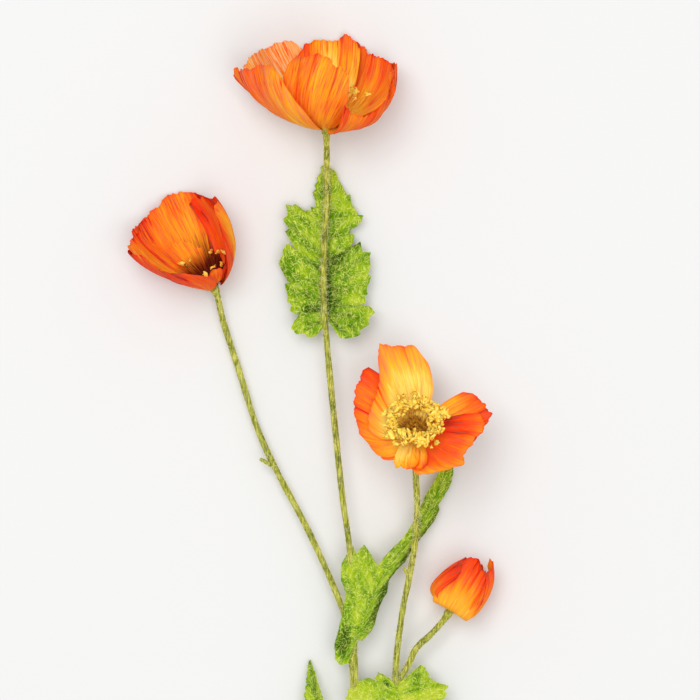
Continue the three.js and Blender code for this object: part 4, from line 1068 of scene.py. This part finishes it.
class POPPY_OT_stems(bpy.types.Operator):
    """Sweeps the branched stem along its paths and grows its hairs."""

    bl_idname = "poppy.stems"
    bl_label = "Stems"

    def execute(self, context):
        s = context.scene.poppy_stems
        lines, widths, edges = [], [], []
        for radius, points, carried in STEMS:
            line, radii = stem_line(radius, points, carried, s.step / MM)
            line[:, 2] = np.maximum(line[:, 2], radii + s.roughness / MM)
            first = sum(map(len, lines))
            edges += [(first + k, first + k + 1) for k in range(len(line) - 1)]
            lines.append(line)
            widths.append(radii)
        drawn = bpy.data.meshes.new("stem_paths")
        drawn.from_pydata(np.concatenate(lines) * MM, edges, [])
        kept = drawn.attributes.new("width", "FLOAT", "POINT")
        kept.data.foreach_set("value", (np.concatenate(widths) * MM).astype(np.float32))
        paths = bpy.data.objects.new("stem_paths", drawn)
        context.scene.collection.objects.link(paths)
        # The noise swings by a half either way, so it is doubled. It has 700 grains a metre, 1.4 mm each.
        stem = grown("stem_skin", paths, stem_tree(), {
            "Sides": s.sides, "Unevenness": 2 * s.roughness, "Grain": 700.0, "Material": stem_material(s),
        })
        bpy.data.objects.remove(paths)
        hair = grain_material("hair_pale_dry", s.hair, s.hair, 2.0, 0.6)
        hairs = grown("stem_hairs", stem, hair_tree(), {
            "Density": s.hair_density, "Length": s.hair_length, "Radius": s.hair_radius,
            "Lean": 1.6, "Bend": 0.35, "Seed": 4, "Material": hair,
        })
        laid(hairs)
        dressed(stem, "stem")
        dressed(hairs, None)
        return {"FINISHED"}


# Leaves

LEAF_STATIONS = 221  # points along a leaf's edge
LEAF_COLUMNS = 22  # faces between a leaf's midrib and its edge
EDGE_SCALE = 80  # a leaf's usual length, with which the way along its edge is measured
SAW_RISE = 0.8  # share of a small tooth over which it rises
FOOT_POWER = 1.8  # above 1 the lines to the edge start close together at the leaf's foot
SIDE_VEINS = 10  # in each half
VEIN_BREADTH = 0.22  # as a share of half the space between two veins
SWELLINGS = (34, 4)  # along a leaf's edge, and from its midrib to its edge
RIB_GROOVE = (0.5, 0.9)  # the depth and the breadth of the dip at the midrib
RIB_STEP = 0.4  # distance between two points of a midrib
BULGE_REACH = 8  # a half that is wider than this swells fully


def leaf_edge(points, spacing, tooth, count):
    """An edge's points evenly along it, with a small saw tooth every `spacing`.

    They come as shares of the way along the rib, distances from it, and shares of the way along the edge.
    """
    p = np.array(points, float)
    gone = np.concatenate([[0], np.cumsum(np.hypot(np.diff(p[:, 0]) * EDGE_SCALE, np.diff(p[:, 1])))])
    even = np.linspace(0, gone[-1], count)
    share, distance = (np.interp(even, gone, p[:, k]) for k in (0, 1))
    saw = (even / spacing) % 1
    cut = np.where(saw < SAW_RISE, saw / SAW_RISE, (1 - saw) / (1 - SAW_RISE)) - 0.5
    # The teeth fade towards the midrib, which the edge doesn't cross.
    fade = smooth(distance / 6)
    return share, np.maximum(distance + tooth * cut * fade, 0.3), even / gone[-1]


def leaf_piece(name, leaf, s, material, seed):
    """One leaf as a thin closed sheet: a midrib and two halves with lobed, toothed edges."""
    leaf = {**PLAIN_LEAF, **leaf}
    thickness = s.thickness / MM
    rib, gone = curve_points(leaf["rib"], RIB_STEP)
    gone = gone / gone[-1]
    size = np.linalg.norm(np.diff(rib, axis=0), axis=1).sum()
    forward = unit(np.gradient(rib, axis=0))
    right = unit(np.cross(forward, unit(np.array(leaf["face"], float))))
    normal = np.cross(right, forward)

    def at(share, rows):
        inside = np.clip(share, 0, 1)
        return np.stack([np.interp(inside, gone, rows[:, k]) for k in range(3)], -1)

    w = np.linspace(0, 1, LEAF_COLUMNS + 1)[None, :]
    halves = []
    for side, way in enumerate((-1, 1)):
        share, distance, station = leaf_edge(leaf[("left", "right")[side]], s.tooth_spacing / MM,
                                             s.tooth / MM * leaf["saw"], LEAF_STATIONS)
        foot_at = station ** FOOT_POWER
        lift = math.radians(leaf["fold"][side])
        past = (share - np.clip(share, 0, 1))[:, None] * size
        rim = (at(share, rib) + at(share, forward) * past
               + at(share, right) * (way * distance * math.cos(lift))[:, None]
               + at(share, normal) * (distance * math.sin(lift))[:, None])
        out, upward = w * distance[:, None], at(foot_at, normal)[:, None]
        bulge = (leaf["bulge"][side] * np.minimum(distance / BULGE_REACH, 1))[:, None] * 4 * w * (1 - w)
        sheet = at(foot_at, rib)[:, None] * (1 - w[..., None]) + rim[:, None] * w[..., None]
        # Side veins run out to the lobes, the skin swells between them, and it dips at the midrib.
        veins = np.abs((station * SIDE_VEINS) % 1 - 0.5) * 2
        vein = -np.exp(-((1 - veins) / VEIN_BREADTH) ** 2)[:, None] * (1 - w ** 3)
        swell = noise(station[:, None] * SWELLINGS[0], w * SWELLINGS[1], seed + side)
        inner = smooth(out / 2) * smooth(distance[:, None] / 3)
        height = ((s.vein / MM) * vein * inner + (s.blister / MM) * swell * inner
                  - RIB_GROOVE[0] * np.exp(-(out / RIB_GROOVE[1]) ** 2))
        # The painted shade of the fold hollows, on the leaf's own tone.
        shade = sum((depth * np.exp(-((station - place) / wide) ** 2)[:, None]
                     * np.exp(-((w - across) / 0.3) ** 2)
                     for way_of, place, wide, across, depth in leaf["folds"] if way_of == side),
                    np.full(out.shape, float(leaf["tone"])))
        halves.append((sheet + upward * (bulge + height)[..., None], height, shade, out * way))
    left, other = halves
    join = 0.5 * (left[0][:, :1] + other[0][:, :1])
    points = np.concatenate([left[0][:, :0:-1], join, other[0][:, 1:]], axis=1)
    relief, shade, aside = (np.concatenate([one[:, :0:-1], two], axis=1)
                            for one, two in zip(left[1:], other[1:]))
    points[..., 2] = pressed(points[..., 2], thickness / 2)
    values = {"relief": np.stack([relief, relief]), "shade": np.stack([shade, shade])}
    along = np.broadcast_to(np.linspace(0, size, LEAF_STATIONS)[:, None], aside.shape)
    uv = np.stack([aside, along], -1).reshape(-1, 2)
    return mesh_piece(name + "_blade", sheet_points(points, thickness), sheet_faces(*relief.shape),
                      material, np.concatenate([uv, uv]), values)


class POPPY_OT_leaves(bpy.types.Operator):
    """Makes the four lobed leaves and grows their hairs."""

    bl_idname = "poppy.leaves"
    bl_label = "Leaves"

    def execute(self, context):
        s = context.scene.poppy_leaves
        material = leaf_material(s)
        hair = grain_material("leaf_hair_pale", s.hair, s.hair, 2.0, 0.6)
        tree = hair_tree()
        for seed, (name, leaf) in enumerate(LEAVES.items()):
            blade = leaf_piece(name, leaf, s, material, 500 + 10 * seed)
            hairs = grown(name + "_hairs", blade, tree, {
                "Density": s.hair_density, "Length": s.hair_length, "Radius": s.hair_radius,
                "Lean": 4.0, "Bend": 0.5, "Seed": seed, "Material": hair,
            })
            laid(hairs)
            dressed(blade, name)
            dressed(hairs, None)
        return {"FINISHED"}


# The middles of the flowers

DOME_FOOT = 3.4  # height of a middle's underside over the flower's base
DOME_WAIST = 0.47  # where it is widest, as a share of its height
DOME_CAP = 0.58  # and how high its cap is above that
LEAN_FROM, LEAN_TO = 0.15, 0.85  # the least and the greatest lean of a stamen


def dome_piece(name, radius, height, material, seed):
    """The low dome of a flower's middle round +Z, closed below."""
    turns, rings = 32, 12  # faces round it, and from its waist to its top
    top = np.linspace(0, np.pi / 2, rings)[1:-1]
    cap = np.stack([np.cos(top) ** 0.6, DOME_FOOT + height * (DOME_WAIST + DOME_CAP * np.sin(top))], -1)
    profile = [(0.42, DOME_FOOT), (1, DOME_FOOT + DOME_WAIST * height), *cap]
    angles = np.linspace(0, 2 * np.pi, turns, endpoint=False)
    points = [(0, 0, DOME_FOOT)]
    for r, z in profile:
        bump = 1 + 0.06 * noise(angles * 3, angles * 0 + z, seed)
        points += [(radius * r * b * math.cos(a), radius * r * b * math.sin(a), z)
                   for a, b in zip(angles, bump)]
    points.append((0, 0, DOME_FOOT + (DOME_WAIST + DOME_CAP) * height))
    starts = [1 + i * turns for i in range(len(profile))]
    ends = [(k, (k + 1) % turns) for k in range(turns)]
    faces = [(0, 1 + after, 1 + k) for k, after in ends]
    faces += [(a + k, a + after, b + after, b + k) for a, b in zip(starts, starts[1:]) for k, after in ends]
    faces += [(starts[-1] + k, starts[-1] + after, len(points) - 1) for k, after in ends]
    return mesh_piece(name, points, faces, material)


def shaken(tree, geometry, place, grain, detail, amount):
    """Moves a geometry's points by a noise with `grain` swings a metre, by up to half of `amount` metres."""
    shift = add(tree, "ShaderNodeTexNoise", values={"Scale": grain, "Detail": detail},
                links={"Vector": place}, out="Color")
    shift = add(tree, "ShaderNodeVectorMath", values={1: (0.5, 0.5, 0.5)}, links={0: shift},
                operation="SUBTRACT")
    shift = add(tree, "ShaderNodeVectorMath", values={"Scale": amount}, links={0: shift},
                operation="SCALE")
    return add(tree, "GeometryNodeSetPosition", links={"Geometry": geometry, "Offset": shift})


def stamen_tree():
    """Sets stalks with crumpled pollen sacs round a ring, each leaning out by its own angle."""
    tree, given, result = tree_of("stamens", (
        ("Count", "Int", 60), ("Ring", "Float", 0.006), ("Length", "Float", 0.012),
        ("Stalk Radius", "Float", 0.0002), ("Sac Length", "Float", 0.003), ("Seed", "Int", 1),
        ("Lean From", "Float", 0.2), ("Lean To", "Float", 0.9), ("Scatter", "Float", 0.001),
        ("Stalk Material", "Material", None), ("Sac Material", "Material", None),
    ))
    ring = add(tree, "GeometryNodeMeshCircle",
               links={"Vertices": given["Count"], "Radius": given["Ring"]})
    points = add(tree, "GeometryNodeMeshToPoints", links={"Mesh": ring})
    place = add(tree, "GeometryNodeInputPosition")
    # A stamen's shift from the ring, the way its sac is turned, and the sac's half sizes.
    shake, any_way, wide = (
        add(tree, "FunctionNodeRandomValue", data_type="FLOAT_VECTOR", values={0: low, 1: high},
            links={"Seed": given["Seed"]})
        for low, high in (((-1.0, -1.0, -0.3), (1.0, 1.0, 0.5)), ((-3.1, -0.9, -3.1), (3.1, 0.9, 3.1)),
                          ((0.16, 0.12, 0.3), (0.34, 0.2, 0.62))))
    shake, wide = (
        add(tree, "ShaderNodeVectorMath", links={0: vector, "Scale": given[size]},
            operation="SCALE")
        for vector, size in ((shake, "Scatter"), (wide, "Sac Length")))
    points = add(tree, "GeometryNodeSetPosition", links={"Geometry": points, "Offset": shake})
    outward = add(tree, "ShaderNodeVectorMath", links={0: place}, operation="NORMALIZE")
    lean = add(tree, "FunctionNodeRandomValue",
               links={2: given["Lean From"], 3: given["Lean To"], "Seed": given["Seed"]}, out=1)
    sine, cosine = (add(tree, "ShaderNodeMath", links={0: lean}, operation=which)
                    for which in ("SINE", "COSINE"))
    flat = add(tree, "ShaderNodeVectorMath", links={0: outward, "Scale": sine}, operation="SCALE")
    tall = add(tree, "ShaderNodeCombineXYZ", links={"Z": cosine})
    way = add(tree, "ShaderNodeVectorMath", links={0: flat, 1: tall}, operation="ADD")
    length = add(tree, "FunctionNodeRandomValue", values={2: 0.62, 3: 1.0}, links={"Seed": given["Seed"]},
                 out=1)
    length = add(tree, "ShaderNodeMath", links={0: length, 1: given["Length"]}, operation="MULTIPLY")
    # Each root keeps its stamen's way and length, for the stalk and for the sac at its tip.
    kept = {}
    for key, kind, value in (("way", "FLOAT_VECTOR", way), ("length", "FLOAT", length)):
        points = add(tree, "GeometryNodeStoreNamedAttribute", data_type=kind, domain="POINT",
                     values={"Name": key}, links={"Geometry": points, "Value": value})
        kept[key] = add(tree, "GeometryNodeInputNamedAttribute", data_type=kind, values={"Name": key})
    turn = add(tree, "FunctionNodeAlignRotationToVector", axis="Z", links={"Vector": kept["way"]})
    size = add(tree, "ShaderNodeCombineXYZ",
               links={"X": given["Stalk Radius"], "Y": given["Stalk Radius"], "Z": kept["length"]})
    stalk = add(tree, "GeometryNodeMeshCone",
                values={"Vertices": 5, "Side Segments": 6, "Radius Top": 0.7, "Radius Bottom": 1.0,
                        "Depth": 1.0}, out="Mesh")
    stalks = add(tree, "GeometryNodeInstanceOnPoints",
                 links={"Points": points, "Instance": stalk, "Rotation": turn, "Scale": size})
    reach = add(tree, "ShaderNodeVectorMath", links={0: kept["way"], "Scale": kept["length"]},
                operation="SCALE")
    tips = add(tree, "GeometryNodeSetPosition", links={"Geometry": points, "Offset": reach})
    sac = add(tree, "GeometryNodeMeshIcoSphere", values={"Radius": 1.0, "Subdivisions": 2})
    sacs = add(tree, "GeometryNodeInstanceOnPoints",
               links={"Points": tips, "Instance": sac, "Rotation": any_way, "Scale": wide})
    stalks, sacs = (add(tree, "GeometryNodeRealizeInstances", links={"Geometry": made})
                    for made in (stalks, sacs))
    # The sacs are crumpled every 1.1 mm, and then everything wavers every 6 mm.
    sacs = shaken(tree, sacs, place, 900.0, 1.0, 3.2 * MM)
    stalks, sacs = (
        add(tree, "GeometryNodeSetMaterial", links={"Geometry": made, "Material": given[key]})
        for made, key in ((stalks, "Stalk Material"), (sacs, "Sac Material")))
    both = add(tree, "GeometryNodeJoinGeometry", links={"Geometry": (stalks, sacs)})
    moved = shaken(tree, both, place, 160.0, 0.0, 4 * MM)
    soft = add(tree, "GeometryNodeSetShadeSmooth", links={"Geometry": moved})
    tree.links.new(soft, result)
    return tree


class POPPY_OT_middles(bpy.types.Operator):
    """Makes the bristly middle and the ring of stamens of each open flower."""

    bl_idname = "poppy.middles"
    bl_label = "Middles and stamens"

    def execute(self, context):
        s = context.scene.poppy_stamens
        yellow = grain_material("pollen_sac_powdery", s.ochre, s.yellow, 1.4, 0.75)
        amber = grain_material("stamen_stalk_dry", s.amber, s.yellow, 3.0, 0.6)
        gold = grain_material("middle_bristle_gold", s.brown, s.gold, 1.6, 0.7)
        dark = grain_material("middle_bristle_shaded", s.maroon, s.rust, 1.6, 0.7)
        hairs, stamens = hair_tree(), stamen_tree()
        for seed, (name, flower) in enumerate(FLOWERS.items()):
            if not flower["filament"]:
                continue
            # The left flower's middle and stalks take the dark copy, painted shade for its shaded heart.
            colour = dark if name == "left_flower" else gold
            dome = dome_piece("dome", s.centre_radius / MM, s.centre_height / MM, colour, seed)
            middle = grown(name + "_bristles", dome, hairs, {
                "Density": s.bristle_density, "Length": s.bristle_length, "Radius": s.bristle_radius,
                "Lean": 0.5, "Bend": 0.2, "Seed": seed, "Material": colour, "Keep Surface": True,
            })
            bpy.data.objects.remove(dome)
            ring = bpy.data.objects.new("ring", bpy.data.meshes.new("ring"))
            context.scene.collection.objects.link(ring)
            crown = grown(name + "_crown", ring, stamens, {
                "Count": flower["stamens"], "Ring": s.ring_radius, "Length": flower["filament"] * MM,
                "Stalk Radius": s.filament_radius, "Sac Length": s.anther_length, "Seed": seed,
                "Lean From": LEAN_FROM, "Lean To": LEAN_TO, "Scatter": s.scatter, "Sac Material": yellow,
                "Stalk Material": dark if colour == dark else amber,
            })
            bpy.data.objects.remove(ring)
            crown.data.transform(Matrix.Translation((0, 0, s.ring_height)))
            for piece, part, slot in ((middle, "centre", "centre"), (crown, "stamens", "stamen")):
                piece.data.transform(flower_matrix(flower))
                dressed(piece, f"{name}_{part}")
        return {"FINISHED"}


# The stage

FLOOR_HALF = 6.0  # half the table's side, in metres
FLOOR_GAP = 0.2 * MM  # how far the table lies under the spray
LAMP_SIZE = 1.6  # side of each square lamp, in metres
LAMPS = (("key", (-0.5, 0.7, 2.6), 1), ("fill", (0.6, -0.7, 2.6), 0.6))  # place, and share of the power


class POPPY_OT_stage(bpy.types.Operator):
    """Sets the pale table, the soft light and the camera that looks straight down."""

    bl_idname = "poppy.stage"
    bl_label = "Stage"

    def execute(self, context):
        s = context.scene.poppy_stage
        scene = context.scene
        scene.view_settings.view_transform = "Standard"
        mesh = bpy.data.meshes.new("floor")
        mesh.from_pydata([(x * FLOOR_HALF, y * FLOOR_HALF, -FLOOR_GAP)
                          for x, y in ((-1, -1), (1, -1), (1, 1), (-1, 1))], [], [(0, 1, 2, 3)])
        floor = bpy.data.objects.new("floor", mesh)
        paint = bpy.data.materials.new("table_matt_paint")
        paint.use_nodes = True
        shader = paint.node_tree.nodes["Principled BSDF"]
        shader.inputs["Base Color"].default_value = s.floor
        shader.inputs["Roughness"].default_value = 0.9
        shader.inputs["Specular IOR Level"].default_value = 0.2
        mesh.materials.append(paint)
        scene.collection.objects.link(floor)
        world = bpy.data.worlds.new("studio")
        world.use_nodes = True
        sky = world.node_tree.nodes["Background"]
        sky.inputs["Color"].default_value = (1, 1, 1, 1)
        sky.inputs["Strength"].default_value = s.sky
        scene.world = world
        aim = Vector((s.centre_x, s.centre_y, 0))
        for name, offset, share in LAMPS:
            lamp = bpy.data.lights.new(name, "AREA")
            lamp.shape = "SQUARE"
            lamp.size = LAMP_SIZE
            lamp.energy = s.key * share
            placed = bpy.data.objects.new(name, lamp)
            placed.location = aim + Vector(offset)
            placed.rotation_euler = (-Vector(offset)).to_track_quat("-Z", "Y").to_euler()
            scene.collection.objects.link(placed)
        view = bpy.data.cameras.new("camera")
        view.lens = s.lens
        view.sensor_width = 36
        view.clip_end = 100
        camera = bpy.data.objects.new("camera", view)
        camera.location = (s.centre_x, s.centre_y, s.distance)
        scene.collection.objects.link(camera)
        scene.camera = camera
        return {"FINISHED"}


class POPPY_PT_build(bpy.types.Panel):
    """Lists the steps that build the spray."""

    bl_idname = "POPPY_PT_build"
    bl_label = "Poppy spray"
    bl_space_type = "VIEW_3D"
    bl_region_type = "UI"
    bl_category = "Poppy spray"

    def draw(self, context):
        for name, _, operator in STEPS:
            box = self.layout.box()
            settings = getattr(context.scene, name)
            for key in settings.bl_rna.properties.keys():
                if key not in ("rna_type", "name"):
                    box.prop(settings, key)
            box.operator(operator.bl_idname)


# Each step: the name of its settings on the scene, their class, and its operator
STEPS = (
    ("poppy_petals", PetalSettings, POPPY_OT_petals),
    ("poppy_stems", StemSettings, POPPY_OT_stems),
    ("poppy_leaves", LeafSettings, POPPY_OT_leaves),
    ("poppy_stamens", StamenSettings, POPPY_OT_middles),
    ("poppy_stage", StageSettings, POPPY_OT_stage),
)


def register():
    for name, settings, operator in STEPS:
        bpy.utils.register_class(settings)
        bpy.utils.register_class(operator)
        setattr(bpy.types.Scene, name, PointerProperty(type=settings))
    bpy.utils.register_class(POPPY_PT_build)


def unregister():
    bpy.utils.unregister_class(POPPY_PT_build)
    for name, settings, operator in reversed(STEPS):
        delattr(bpy.types.Scene, name)
        bpy.utils.unregister_class(operator)
        bpy.utils.unregister_class(settings)


def main():
    register()
    bpy.ops.poppy.petals()
    bpy.ops.poppy.stems()
    bpy.ops.poppy.leaves()
    bpy.ops.poppy.middles()
    bpy.ops.poppy.stage()


if __name__ == "__main__":
    main()
